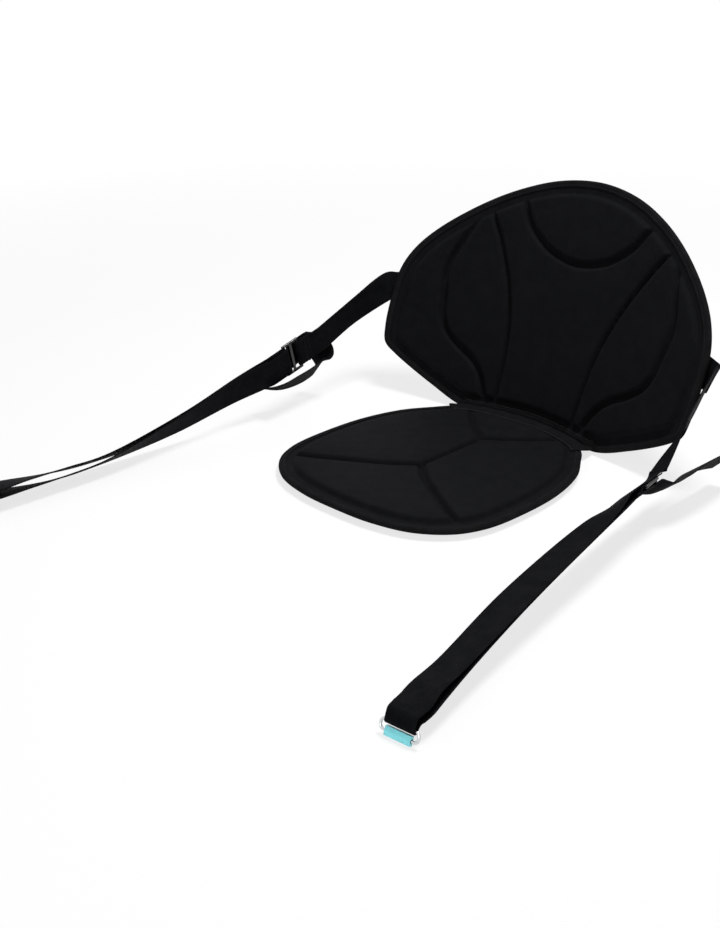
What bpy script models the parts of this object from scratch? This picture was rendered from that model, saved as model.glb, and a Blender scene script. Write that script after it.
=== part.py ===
"""Kayak seat: a moulded foam seat pad and backrest joined by a sewn hinge, with two adjustable straps.

Units are metres. +Z is up, +Y is towards the backrest, +X is the left hand of someone who sits in it.
The origin is on the underside of the seat pad, under its middle.
"""
import math

import bmesh
import bpy
import numpy as np
from mathutils import Vector
from mathutils.geometry import delaunay_2d_cdt

# Seat pad
SEAT_WIDTH = 0.334
SEAT_DEPTH = 0.367
HINGE_BACK = 0.190

# Backrest
HINGE_UP = 0.013
BACKREST_WIDTH = 0.500
BACKREST_HEIGHT = 0.317
RECLINE = math.radians(22.0)
WRAP_RADIUS = 0.638

# Layers of both pads, from the outside of the cover to the face of the raised panels
PAD_THICKNESS = 0.018
COVER_THICKNESS = 0.0010
FLANGE_BOTTOM = 0.006
FLANGE_TOP = 0.0123
FLANGE_WIDTH = 0.017
RIM_SLOPE = 0.006
GROOVE_SLOPE = 0.0035
GAP = 0.0003

# Tape sewn over the edge of each pad
BINDING_WIDTH = 0.008
BINDING_THICKNESS = 0.0008
BINDING_CLEAR = 0.0002
EDGE_SLOPE = 0.012

# Sewn hinge
HINGE_TAPE_LENGTH = 0.220
HINGE_TAPE_THICKNESS = 0.0010
HINGE_TAPE_LAP = 0.0135
HINGE_TAPE_REACH = 0.0030

# Webbing straps
STRAP_WIDTH = 0.038
STRAP_THICKNESS = 0.0016
SEWN_END = 0.020
PATCH_LENGTH = 0.058
PATCH_WIDTH = 0.052
PATCH_THICKNESS = 0.0008
PATCH_FROM_EDGE = 0.052
PATCH_UP = 0.134
PATCH_TURN = math.radians(16.0)
PATCH_STRIPS = 5
ANCHOR_INSET = 0.003
STRAP_TURN = 0.011
STRAP_LEAD = 0.018
RING_STRAP_WIDTH = 0.0350
RING_LEAD = 0.0130

# Three-bar buckle
BAR_SPACING = 0.012
BAR_DEPTH = 0.0040
BAR_THICKNESS = 0.0032
BAR_ROUND = 0.0008
RAIL_WIDTH = 0.0034
RAIL_CLEAR = 0.0016
BAR_CLEAR = 0.0005
BAR_LEAD = 0.0070

# Wire ring and its sleeve
WIRE_RADIUS = 0.0015
RING_INSIDE = 0.041
RING_DEPTH = 0.0100
RING_CORNER = 0.0040
RING_LEAN = math.radians(68.0)
SLEEVE_LENGTH = 0.030
SLEEVE_HEIGHT = 0.0096
SLEEVE_THICKNESS = 0.0052
SLEEVE_CLEAR = 0.0003

# How finely curves are drawn
OUTLINE_STEP = 0.014
GROOVE_STEP = 0.014
STRAP_STEP = 0.016
GRID_ACROSS = 0.020
GRID_ALONG = 0.045
GRID_CLEAR = 0.006
CDT_TOLERANCE = 1e-7

# Half outlines and grooves, as shares of half the width and of the depth or height from the hinge
SEAT_EDGE = [
    (0.000, 0.024), (0.330, 0.040), (0.560, 0.075), (0.655, 0.108), (0.742, 0.164), (0.875, 0.261),
    (0.974, 0.417), (1.000, 0.600), (0.968, 0.765), (0.864, 0.868), (0.640, 0.952), (0.330, 0.992),
    (0.000, 1.000),
]
SEAT_CENTRE_GROOVE = [(0.000, 0.277), (0.000, 0.590)]
SEAT_FRONT_GROOVE = [(0.000, 0.590), (0.203, 0.668), (0.458, 0.741), (0.696, 0.805), (0.850, 0.836)]
SEAT_REAR_GROOVE = [(0.000, 0.283), (0.220, 0.203), (0.452, 0.095)]
BACKREST_EDGE = [
    (0.000, -0.016), (0.220, -0.026), (0.439, -0.040), (0.659, 0.012), (0.898, 0.091), (0.968, 0.128),
    (0.990, 0.190), (1.000, 0.330), (0.990, 0.458), (0.940, 0.560), (0.838, 0.668), (0.645, 0.806),
    (0.455, 0.903), (0.240, 0.973), (0.000, 1.000),
]
BACKREST_OVAL_GROOVE = [
    (-0.407, 0.868), (-0.339, 0.782), (-0.264, 0.729), (-0.165, 0.685), (0.000, 0.659),
    (0.165, 0.685), (0.264, 0.729), (0.339, 0.782), (0.407, 0.868),
]
BACKREST_INNER_GROOVE = [
    (0.577, 0.795), (0.481, 0.681), (0.370, 0.514), (0.295, 0.334), (0.264, 0.151), (0.256, 0.032),
]
BACKREST_OUTER_GROOVE = [
    (0.641, 0.752), (0.679, 0.656), (0.725, 0.543), (0.733, 0.473), (0.713, 0.391), (0.690, 0.306),
    (0.646, 0.252), (0.567, 0.208), (0.457, 0.164), (0.394, 0.120), (0.359, 0.079), (0.331, 0.032),
]

# Widths of the grooves' floors
NARROW_GROOVE = 0.0030
WIDE_GROOVE = 0.0060

# Routes of the straps. Places are from the hinge's middle on the floor; the width is a direction.
BUCKLE_PLACE = {"left": (-0.2650, -0.1830, 0.0800), "right": (0.2770, -0.1560, 0.0500)}
BUCKLE_ALONG = {"left": (-0.065, -0.950, -0.300), "right": (0.150, -0.970, -0.030)}
BUCKLE_ACROSS = {"left": (0.10, 0.20, 0.97), "right": (-0.70, -0.03, -0.70)}
ANCHOR_ROUTE = {
    "left": [((-0.2610, -0.0660, 0.1200), (0.05, 0.25, 0.95))],
    "right": [((0.2640, -0.0400, 0.1060), (-0.20, -0.30, -0.90))],
}
RING_ROUTE = {
    "left": [
        ((-0.2720, -0.2710, 0.0580), (0.22, 0.20, 0.95), 0.0011),
        ((-0.2790, -0.3670, 0.0350), (0.52, 0.10, 0.85), 0.0011),
        ((-0.2870, -0.4880, 0.0180), (0.84, 0.00, 0.53), 0.0030),
        ((-0.2920, -0.5450, 0.0170), (0.88, 0.00, 0.45), 0.0045),
        ((-0.2970, -0.6150, 0.0210), (0.97, 0.00, 0.20), 0.0050),
    ],
    "right": [
        ((0.2950, -0.2580, 0.0520), (-0.93, -0.05, -0.36), 0.0011),
        ((0.3280, -0.4350, 0.0420), (-0.99, -0.03, -0.12), 0.0011),
        ((0.3540, -0.5600, 0.0280), (-0.98, 0.00, -0.20), 0.0030),
        ((0.3660, -0.6100, 0.0260), (-0.99, 0.00, -0.15), 0.0055),
        ((0.3700, -0.6280, 0.0240), (-1.00, 0.00, -0.05), 0.0060),
    ],
}
RING_PLACE = {"left": (-0.2990, -0.6460), "right": (0.3740, -0.6520)}
RING_TURN = {"left": math.radians(-3.0), "right": math.radians(4.0)}
TAIL_ROUTE = {
    "left": [
        ((-0.2770, -0.1320, 0.0780), (0.10, 0.15, 0.98)),
        ((-0.2800, -0.1170, 0.0660), (0.40, 0.20, 0.90)),
        ((-0.2770, -0.1180, 0.0530), (0.50, 0.20, 0.84)),
        ((-0.2720, -0.1420, 0.0450), (0.60, 0.10, 0.79)),
        ((-0.2700, -0.1850, 0.0410), (0.75, 0.00, 0.66)),
        ((-0.2710, -0.2230, 0.0440), (0.95, 0.00, 0.25)),
    ],
    "right": [
        ((0.2820, -0.1120, 0.0420), (-0.80, -0.10, -0.60)),
        ((0.2850, -0.0880, 0.0430), (-0.75, -0.10, -0.65)),
        ((0.2850, -0.0560, 0.0460), (-0.80, 0.00, -0.60)),
        ((0.2830, -0.0180, 0.0400), (-0.90, 0.00, -0.40)),
        ((0.2790, 0.0180, 0.0300), (-0.95, 0.00, -0.25)),
    ],
}


def material(name, colour, roughness, metallic=0.0):
    made = bpy.data.materials.new(name)
    made.use_nodes = True
    shader = made.node_tree.nodes["Principled BSDF"]
    shader.inputs["Base Color"].default_value = (*colour, 1.0)
    shader.inputs["Roughness"].default_value = roughness
    shader.inputs["Metallic"].default_value = metallic
    return made


def add_object(name, mesh, finish):
    made = bpy.data.objects.new(name, mesh)
    made.data.materials.append(finish)
    bpy.context.scene.collection.objects.link(made)
    return made


def mesh_object(name, points, faces, finish):
    """Make an object from points and faces, with its faces pointing out."""
    mesh = bpy.data.meshes.new(name)
    mesh.from_pydata([tuple(p) for p in points], [], faces)
    shape = bmesh.new()
    shape.from_mesh(mesh)
    bmesh.ops.recalc_face_normals(shape, faces=shape.faces)
    bmesh.ops.triangulate(shape, faces=shape.faces)
    shape.to_mesh(mesh)
    shape.free()
    return add_object(name, mesh, finish)


def curve_through(points, step, closed=False):
    """Centripetal Catmull-Rom curve through the points, sampled evenly at about the given step."""
    p = np.array(points, float)
    if closed:
        p = np.vstack([p[-1], p, p[0], p[1]])
    else:
        p = np.vstack([2 * p[0] - p[1], p, 2 * p[-1] - p[-2]])
    fine = []
    for a, b, c, d in zip(p[:-3], p[1:-2], p[2:-1], p[3:]):
        ta = 0.0
        tb = ta + math.sqrt(np.linalg.norm(b - a))
        tc = tb + math.sqrt(np.linalg.norm(c - b))
        td = tc + math.sqrt(np.linalg.norm(d - c))
        for t in np.linspace(tb, tc, 24, endpoint=False):
            ab = ((tb - t) * a + (t - ta) * b) / (tb - ta)
            bc = ((tc - t) * b + (t - tb) * c) / (tc - tb)
            cd = ((td - t) * c + (t - tc) * d) / (td - tc)
            abc = ((tc - t) * ab + (t - ta) * bc) / (tc - ta)
            bcd = ((td - t) * bc + (t - tb) * cd) / (td - tb)
            fine.append(((tc - t) * abc + (t - tb) * bcd) / (tc - tb))
    fine.append(p[-2])
    fine = np.array(fine)
    run = np.concatenate([[0.0], np.cumsum(np.linalg.norm(np.diff(fine, axis=0), axis=1))])
    count = max(2, round(run[-1] / step)) + 1
    even = np.linspace(0.0, run[-1], count)
    sampled = np.stack([np.interp(even, run, fine[:, k]) for k in range(fine.shape[1])], axis=1)
    return sampled[:-1] if closed else sampled


def distance_to(points, line, closed=False):
    """Distance from each of the points to a polyline."""
    ends = np.vstack([line, line[:1]]) if closed else np.asarray(line)
    a, b = ends[:-1], ends[1:]
    along = b - a
    q = np.atleast_2d(points)[:, None, :]
    share = ((q - a) * along).sum(2) / (along * along).sum(1)
    foot = a + np.clip(share, 0.0, 1.0)[..., None] * along
    return np.linalg.norm(q - foot, axis=2).min(axis=1)


def left_normals(line, closed=False):
    """Unit normals on the left of a plane polyline."""
    if closed:
        along = np.roll(line, -1, axis=0) - np.roll(line, 1, axis=0)
    else:
        along = np.gradient(line, axis=0)
    along = along / np.linalg.norm(along, axis=1)[:, None]
    return np.stack([-along[:, 1], along[:, 0]], axis=1)


def inset_line(outline, distance):
    """The outline moved inwards, without the points that a tight corner would fold over."""
    moved = outline + left_normals(outline, closed=True) * distance
    return moved[distance_to(moved, outline, closed=True) > 0.985 * distance]


def mirrored_outline(half, width, depth):
    """Closed anticlockwise outline from a half one whose first and last points are on the middle."""
    right = [(x * width / 2, y * depth) for x, y in half]
    left = [(-x, y) for x, y in right[-2:0:-1]]
    outline = curve_through(right + left, OUTLINE_STEP, closed=True)
    area = np.sum(outline[:, 0] * np.roll(outline[:, 1], -1) - np.roll(outline[:, 0], -1) * outline[:, 1])
    return outline if area > 0 else outline[::-1]


def groove(points, floor, width, depth):
    """Both mirror halves of a groove: its centre lines and the width of its floor."""
    line = curve_through([(x * width / 2, y * depth) for x, y in points], GROOVE_STEP)
    if np.abs(line[:, 0] + line[::-1, 0]).max() < 1e-6 or np.abs(line[:, 0]).max() < 1e-6:
        return [(line, floor)]
    return [(line, floor), (line * (-1, 1), floor)]


def seat_place(x, y, n):
    return Vector((x, HINGE_BACK - y, n))


def backrest_place(x, y, n):
    """Point of the backrest: x across, y up its slope and n out of its back cover."""
    slope = x / WRAP_RADIUS
    length = math.sqrt(1 + slope * slope)
    inwards = (n - FLANGE_TOP) / length
    out = x * slope / 2 + inwards
    back = y * math.sin(RECLINE) - out * math.cos(RECLINE)
    up = y * math.cos(RECLINE) + out * math.sin(RECLINE)
    return Vector((x - inwards * slope, HINGE_BACK + back, HINGE_UP + up))


def fill(outline, lines, points):
    """Triangles that fill an outline and keep the given lines as edges."""
    coords = [tuple(p) for p in outline]
    edges = []
    for line, closed in lines:
        first = len(coords)
        coords += [tuple(p) for p in line]
        last = len(coords) - 1
        edges += [(k, k + 1) for k in range(first, last)]
        if closed:
            edges.append((last, first))
    coords += [tuple(p) for p in points]
    loop = list(range(len(outline)))
    spots, _, faces, origins, _, _ = delaunay_2d_cdt(
        [Vector(c) for c in coords], edges, [loop], 1, CDT_TOLERANCE
    )
    place_of = {}
    for new, olds in enumerate(origins):
        for old in olds:
            place_of[old] = new
    return np.array([tuple(s) for s in spots]), faces, [place_of[k] for k in loop]


def slab(name, outline, upper, lower, place, finish):
    """Closed solid between two surfaces over one outline.

    upper and lower each give the height of points and the lines and points that shape them.
    """
    points, faces, rims = [], [], []
    for height, lines, spots in (upper, lower):
        flat, triangles, rim = fill(outline, lines, spots)
        first = len(points)
        points += [place(x, y, n) for (x, y), n in zip(flat, height(flat))]
        faces += [tuple(first + k for k in t) for t in triangles]
        rims.append([first + k for k in rim])
    top, bottom = rims
    for k in range(len(outline)):
        after = (k + 1) % len(outline)
        faces.append((top[k], top[after], bottom[after], bottom[k]))
    return mesh_object(name, points, faces, finish)


def grid_points(outline, keep_off):
    """Points of a coarse grid inside the outline that stay clear of the given lines."""
    low, high = outline.min(axis=0), outline.max(axis=0)
    xs = np.arange(GRID_ACROSS * math.ceil(low[0] / GRID_ACROSS), high[0], GRID_ACROSS)
    ys = np.arange(GRID_ALONG * math.ceil(low[1] / GRID_ALONG), high[1], GRID_ALONG)
    spots = np.array([(x, y) for x in xs for y in ys])
    x, y = outline[:, 0], outline[:, 1]
    nx, ny = np.roll(x, -1), np.roll(y, -1)
    inside = []
    for sx, sy in spots:
        crosses = (y > sy) != (ny > sy)
        at = x[crosses] + (sy - y[crosses]) * (nx[crosses] - x[crosses]) / (ny[crosses] - y[crosses])
        inside.append(np.count_nonzero(at > sx) % 2 == 1)
    spots = spots[np.array(inside)]
    away = distance_to(spots, outline, closed=True) > GRID_CLEAR
    for line, closed in keep_off:
        away &= distance_to(spots, line, closed) > GRID_CLEAR
    return spots[away]


def face_height(outline, grooves):
    """Height of a pad's moulded face: a flat flange, and panels raised between the grooves."""
    def height(points):
        share = np.clip((distance_to(points, outline, closed=True) - FLANGE_WIDTH) / RIM_SLOPE, 0, 1)
        for line, floor in grooves:
            share = np.minimum(share, np.clip((distance_to(points, line) - floor / 2) / GROOVE_SLOPE, 0, 1))
        return FLANGE_TOP + (PAD_THICKNESS - FLANGE_TOP) * share

    return height


def back_height(outline, level):
    """Height of a pad's flat underside, which lifts towards the flange and the binding."""
    lift = FLANGE_BOTTOM + BINDING_CLEAR + BINDING_THICKNESS + GAP

    def height(points):
        away = distance_to(points, outline, closed=True) - BINDING_WIDTH - GAP
        return level + lift * (1 - np.clip(away / EDGE_SLOPE, 0, 1))

    return height


def face_lines(outline, grooves):
    """Lines where a pad's face changes slope."""
    lines = [(inset_line(outline, d), True) for d in (FLANGE_WIDTH, FLANGE_WIDTH + RIM_SLOPE)]
    for line, floor in grooves:
        across = left_normals(line)
        for offset in (floor / 2, floor / 2 + GROOVE_SLOPE):
            lines += [(line + across * offset, False), (line - across * offset, False)]
    return lines


def make_pad(names, outline, grooves, place, finishes):
    """Moulded pad, the cover on its back and the binding round its edge."""
    edge = BINDING_WIDTH + GAP
    back_lines = [(inset_line(outline, d), True) for d in (edge, edge + EDGE_SLOPE)]
    back_points = grid_points(outline, back_lines)
    lines = face_lines(outline, grooves)
    points = grid_points(outline, lines)
    under = COVER_THICKNESS + GAP
    face = (face_height(outline, grooves), lines, points)
    slab(names[0], outline, face, (back_height(outline, under), back_lines, back_points), place, finishes[0])
    inner = (back_height(outline, COVER_THICKNESS), back_lines, back_points)
    outer = (back_height(outline, 0.0), back_lines, back_points)
    slab(names[1], outline, inner, outer, place, finishes[1])
    make_binding(names[2], outline, place, finishes[2])


def make_binding(name, outline, place, finish):
    """Tape folded over the edge of a pad, as a closed loop with a U section."""
    inside = GAP
    outside = GAP + BINDING_THICKNESS
    low = FLANGE_BOTTOM + BINDING_CLEAR
    high = FLANGE_TOP + GAP + BINDING_THICKNESS
    roll = (high - low) / 3
    section = [
        (BINDING_WIDTH, high - BINDING_THICKNESS), (BINDING_WIDTH, high), (roll / 2 - outside, high),
        (-outside, high - roll), (-outside, low + roll), (roll / 2 - outside, low), (BINDING_WIDTH, low),
        (BINDING_WIDTH, low + BINDING_THICKNESS), (-inside, low + BINDING_THICKNESS),
        (-inside, high - BINDING_THICKNESS),
    ]
    inwards = left_normals(outline, closed=True)
    points = []
    for spot, normal in zip(outline, inwards):
        for e, n in section:
            x, y = spot + normal * e
            points.append(place(x, y, n))
    mesh_object(name, points, loop_faces(len(outline), len(section), True), finish)


def loop_faces(rings, sides, closed):
    """Faces of a skin over rings of points, with flat ends unless it is closed."""
    faces = []
    for ring in range(rings if closed else rings - 1):
        here, there = ring * sides, (ring + 1) % rings * sides
        for k in range(sides):
            after = (k + 1) % sides
            faces.append((here + k, here + after, there + after, there + k))
    if not closed:
        faces += [tuple(range(sides)), tuple(range((rings - 1) * sides, rings * sides))]
    return faces


def edge_by_hinge(outline, x):
    """Point of the outline's edge by the hinge at x, and the direction inwards from it."""
    by_hinge = outline[:, 1] < 0.4 * outline[:, 1].max()
    normals = left_normals(outline, closed=True)[by_hinge]
    edge = outline[by_hinge]
    order = np.argsort(edge[:, 0])
    y, nx, ny = (np.interp(x, edge[order, 0], v[order]) for v in (edge[:, 1], normals[:, 0], normals[:, 1]))
    inwards = np.array((nx, ny))
    return np.array((x, y)), inwards / np.linalg.norm(inwards)


def make_hinge_tape(seat_outline, backrest_outline, finish):
    """Tape sewn to the rear flange of the seat and to the lower flange of the backrest."""
    on_flange = FLANGE_TOP + GAP
    on_binding = FLANGE_TOP + GAP + BINDING_THICKNESS + GAP
    edge = BINDING_WIDTH + GAP
    step = edge + HINGE_TAPE_THICKNESS
    rows = [
        (seat_place, HINGE_TAPE_LAP, on_flange), (seat_place, step, on_flange), (seat_place, edge, on_binding),
        (seat_place, -HINGE_TAPE_REACH, on_binding), (backrest_place, HINGE_TAPE_REACH, on_binding),
        (backrest_place, edge, on_binding), (backrest_place, step, on_flange),
        (backrest_place, HINGE_TAPE_LAP, on_flange),
    ]
    columns = np.linspace(-HINGE_TAPE_LENGTH / 2, HINGE_TAPE_LENGTH / 2, 15)
    points = []
    for x in columns:
        under, over = [], []
        for place, lap, n in rows:
            spot, inwards = edge_by_hinge(seat_outline if place is seat_place else backrest_outline, x)
            u, v = spot + inwards * lap
            under.append(place(u, v, n))
            over.append(place(u, v, n + HINGE_TAPE_THICKNESS))
        points += under + over[::-1]
    return mesh_object("hinge_tape", points, loop_faces(len(columns), 2 * len(rows), False), finish)


def ribbon(name, stations, finish):
    """Flat webbing along stations of a place, the direction of its width and the width."""
    places = np.array([s[0] for s in stations], float)
    across = np.array([s[1] for s in stations], float)
    halves = np.array([s[2] for s in stations], float)[:, None] / 2
    along = np.gradient(places, axis=0)
    along /= np.linalg.norm(along, axis=1)[:, None]
    across -= (across * along).sum(axis=1)[:, None] * along
    across /= np.linalg.norm(across, axis=1)[:, None]
    outwards = np.cross(across, along) * STRAP_THICKNESS / 2
    across *= halves
    points = []
    for p, w, n in zip(places, across, outwards):
        points += [p - w - n, p + w - n, p + w + n, p - w + n]
    return mesh_object(name, points, loop_faces(len(stations), 4, False), finish)


def unit(vector):
    vector = np.array(vector, float)
    return vector / np.linalg.norm(vector)


def from_hinge(place):
    return np.array(place) + (0.0, HINGE_BACK, 0.0)


def route(knots, step):
    """Stations along a smooth curve through knots of a place, a width direction, a width and more."""
    rows = [(*k[0], *(unit(k[1]) * STRAP_WIDTH), *k[2:]) for k in knots]
    sampled = curve_through(rows, step)
    return [(row[:3], row[3:6], *row[6:]) for row in sampled]


class Buckle:
    """Frame of reference of a buckle: s runs towards the ring and m out of its upper face."""

    def __init__(self, side):
        self.middle = from_hinge(BUCKLE_PLACE[side])
        self.along = unit(BUCKLE_ALONG[side])
        across = np.array(BUCKLE_ACROSS[side])
        self.across = unit(across - (across @ self.along) * self.along)
        self.up = np.cross(self.across, self.along)

    def at(self, s, m):
        return (self.middle + self.along * s + self.up * m, self.across, STRAP_WIDTH)


def bar_turn(centre, reach, rise, start, stop, steps):
    """Points of a bend round a bar, as s and m, between two angles in degrees."""
    turns = [math.radians(start + (stop - start) * k / steps) for k in range(steps + 1)]
    return [(centre + reach * math.cos(t), rise * math.sin(t)) for t in turns]


def buckle_levels():
    """Reach and rise of webbing bent round a bar, and the pitch of two layers of it."""
    reach = BAR_DEPTH / 2 + BAR_CLEAR + STRAP_THICKNESS / 2
    rise = BAR_THICKNESS / 2 + BAR_CLEAR + STRAP_THICKNESS / 2
    ply = STRAP_THICKNESS + BAR_CLEAR
    return reach, rise, ply


def make_anchor_strap(side, sign, buckle, finish):
    """Single webbing from the back of a wing to the rear bar of the buckle."""
    reach, rise, ply = buckle_levels()
    level = -(GAP + PATCH_THICKNESS + GAP + STRAP_THICKNESS / 2)
    fall = math.tan(PATCH_TURN)

    def on_wing(across, n):
        y = PATCH_UP - (across - middle) * fall
        here = backrest_place(sign * across, y, n)
        up = backrest_place(sign * (across + fall * STRAP_WIDTH), y + STRAP_WIDTH, n) - here
        return np.array(here), np.array(up) * (1 if side == "left" else -1), STRAP_WIDTH

    middle = BACKREST_WIDTH / 2 - PATCH_FROM_EDGE
    sewn = middle - PATCH_LENGTH / 2 + ANCHOR_INSET
    edge = BACKREST_WIDTH / 2 + GAP + BINDING_THICKNESS
    knots = [on_wing(sewn, level), on_wing(middle, level), on_wing(edge - BINDING_WIDTH, level)]
    knots.append(on_wing(edge + STRAP_TURN / 2, level + STRAP_TURN / 6))
    knots.append(on_wing(edge + STRAP_TURN, level + STRAP_TURN))
    knots += [(from_hinge(p), w, STRAP_WIDTH) for p, w in ANCHOR_ROUTE[side]]
    knots.append(buckle.at(-BAR_SPACING - SEWN_END - STRAP_LEAD, rise))
    stations = route(knots, STRAP_STEP / 4)
    local = [(-BAR_SPACING - SEWN_END, rise), (-BAR_SPACING - BAR_LEAD, rise)]
    local += bar_turn(-BAR_SPACING, reach, rise, 90, -90, 8)
    local += [(-BAR_SPACING - s, m) for s, m in hem_points(rise, ply)]
    stations += [buckle.at(s, m) for s, m in local]
    return ribbon(side + "_anchor_strap", stations, finish)


def hem_points(rise, ply):
    """Points that lead a turned end from below a bar up against the webbing that it is sewn to."""
    near = BAR_DEPTH / 2 + STRAP_THICKNESS
    return [(near, rise / 8 - STRAP_THICKNESS * 1.3), (near * 2.1, rise - ply), (SEWN_END, rise - ply)]


class Ring:
    """Frame of reference of a ring that stands on its sleeve and leans back: the middle of its upper bar."""

    def __init__(self, side):
        turn = RING_TURN[side]
        ahead = np.array((math.sin(turn), -math.cos(turn), 0.0))
        self.across = np.array((math.cos(turn), math.sin(turn), 0.0))
        self.down = ahead * math.cos(RING_LEAN) - (0.0, 0.0, math.sin(RING_LEAN))
        self.face = np.cross(self.down, self.across)
        low_bar = (SLEEVE_HEIGHT * math.sin(RING_LEAN) + SLEEVE_THICKNESS * math.cos(RING_LEAN)) / 2
        self.bar = from_hinge((*RING_PLACE[side], low_bar + RING_DEPTH * math.sin(RING_LEAN)))

    def at(self, across, down):
        return self.bar + self.across * across + self.down * down


def make_adjust_strap(side, buckle, ring, finish):
    """Webbing from the front bar to the ring and back through the buckle, with its free tail."""
    reach, rise, ply = buckle_levels()
    front = BAR_SPACING
    hem = [(front + s, -m) for s, m in hem_points(rise, ply)[::-1]]
    hem += bar_turn(front, reach, rise, 90, 270, 8)
    hem += [(front + BAR_LEAD, -rise), (front + SEWN_END, -rise)]
    stations = [buckle.at(s, m) for s, m in hem]

    centre = [(*buckle.at(front + SEWN_END + BAR_LEAD, 0.0), rise, rise + ply)]
    centre += [(from_hinge(p), w, STRAP_WIDTH, part, part) for p, w, part in RING_ROUTE[side]]
    across = ring.across * math.copysign(1.0, RING_ROUTE[side][-1][1][0])
    facing = np.cross(across, ring.down)
    bend = WIRE_RADIUS + BAR_CLEAR + STRAP_THICKNESS / 2
    centre.append((ring.at(0.0, -RING_LEAD), across, RING_STRAP_WIDTH, 1.5 * bend, 1.5 * bend))
    centre.append((ring.at(0.0, -STRAP_THICKNESS), across, RING_STRAP_WIDTH, bend, bend))
    centre = route(centre, STRAP_STEP / 2)
    places = np.array([c[0] for c in centre])
    out = np.cross([c[1] for c in centre], np.gradient(places, axis=0))
    out /= np.linalg.norm(out, axis=1)[:, None]
    out[-1] = facing
    stations += [(c[0] - n * c[3], c[1], c[2]) for c, n in zip(centre, out)]
    for k in range(7):
        turn = math.radians(30 * k)
        spot = ring.at(0.0, bend * math.sin(turn)) - facing * bend * math.cos(turn)
        stations.append((spot, across, RING_STRAP_WIDTH))
    stations += [(c[0] + n * c[4], c[1], c[2]) for c, n in zip(centre, out)][::-1]

    around, over = reach + ply + BAR_CLEAR, rise + ply
    local = [(front + SEWN_END, over), (front + BAR_LEAD, over)]
    local += bar_turn(front, around, over, 90, 180, 4)
    local += [(around * 0.8, -rise * 0.75), (BAR_DEPTH / 4, -rise - GAP), (-BAR_DEPTH, -rise - 2 * GAP)]
    local += [(reach - BAR_SPACING, -over), (-BAR_SPACING, -over), (-BAR_SPACING - BAR_LEAD, -over)]
    stations += [buckle.at(s, m) for s, m in local]
    tail = [buckle.at(-BAR_SPACING - 2 * BAR_LEAD, -over)]
    tail += [(from_hinge(p), w, STRAP_WIDTH) for p, w in TAIL_ROUTE[side]]
    stations += route(tail, STRAP_STEP / 2)
    return ribbon(side + "_adjust_strap", stations, finish)


def make_patch(side, sign, finish):
    """Square of cloth under the strap's sewn end, on the back of a wing."""
    half_long, half_wide = PATCH_LENGTH / 2, PATCH_WIDTH / 2
    steps = np.linspace(-1.0, 1.0, PATCH_STRIPS + 1)
    rounding = np.array([0.9, 1.0, 1.0, 1.0, 1.0, 0.9])
    low = [(a * half_long, -half_wide * r) for a, r in zip(steps, rounding)]
    high = [(a * half_long, half_wide * r) for a, r in zip(steps[::-1], rounding)]
    turn = -sign * PATCH_TURN
    turned = np.array([(math.cos(turn), math.sin(turn)), (-math.sin(turn), math.cos(turn))])
    middle = (sign * (BACKREST_WIDTH / 2 - PATCH_FROM_EDGE), PATCH_UP)
    outline = np.array(low + high) @ turned + middle
    strips = [(np.array((a, b)) @ turned + middle, False) for a, b in zip(low[1:-1], high[-2:0:-1])]
    upper = (lambda points: np.full(len(points), -GAP), strips, [])
    lower = (lambda points: np.full(len(points), -GAP - PATCH_THICKNESS), strips, [])
    return slab(side + "_anchor_patch", outline, upper, lower, backrest_place, finish)


def place_in(made, middle, along, across, up):
    """Turn an object so that its X, Y and Z axes lie across, along and up at the middle."""
    for row in range(3):
        made.matrix_world[row][0] = across[row]
        made.matrix_world[row][1] = along[row]
        made.matrix_world[row][2] = up[row]
        made.matrix_world[row][3] = middle[row]


def box(name, size, centre=(0.0, 0.0, 0.0)):
    """A box mesh whose size is in its points."""
    shape = bmesh.new()
    bmesh.ops.create_cube(shape, size=1.0)
    for corner in shape.verts:
        corner.co = Vector(c * s + m for c, s, m in zip(corner.co, size, centre))
    mesh = bpy.data.meshes.new(name)
    shape.to_mesh(mesh)
    shape.free()
    return mesh


def cut(made, name, size, centre):
    """Cut a box out of an object with a Boolean modifier."""
    cutter = bpy.data.objects.new(name, box(name, size, centre))
    bpy.context.scene.collection.objects.link(cutter)
    cutter.hide_render = True
    cutter.display_type = "WIRE"
    cutter.parent = made
    modifier = made.modifiers.new(name, "BOOLEAN")
    modifier.operation = "DIFFERENCE"
    modifier.solver = "EXACT"
    modifier.object = cutter


def round_edges(made, width, segments):
    modifier = made.modifiers.new("round", "BEVEL")
    modifier.width = width
    modifier.segments = segments
    modifier.limit_method = "ANGLE"
    modifier.angle_limit = math.radians(40)


def make_buckle(side, buckle, finish):
    """Frame with three bars and two windows."""
    inside = STRAP_WIDTH + 2 * RAIL_CLEAR
    size = (inside + 2 * RAIL_WIDTH, 2 * BAR_SPACING + BAR_DEPTH, BAR_THICKNESS)
    made = add_object(side + "_buckle", box(side + "_buckle", size), finish)
    window = BAR_SPACING - BAR_DEPTH
    for k, centre in enumerate((-BAR_SPACING / 2, BAR_SPACING / 2)):
        cut(made, f"{side}_buckle_window_{k + 1}", (inside, window, 3 * BAR_THICKNESS), (0, centre, 0))
    round_edges(made, BAR_ROUND, 2)
    place_in(made, buckle.middle, buckle.along, buckle.across, buckle.up)
    return made


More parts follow.
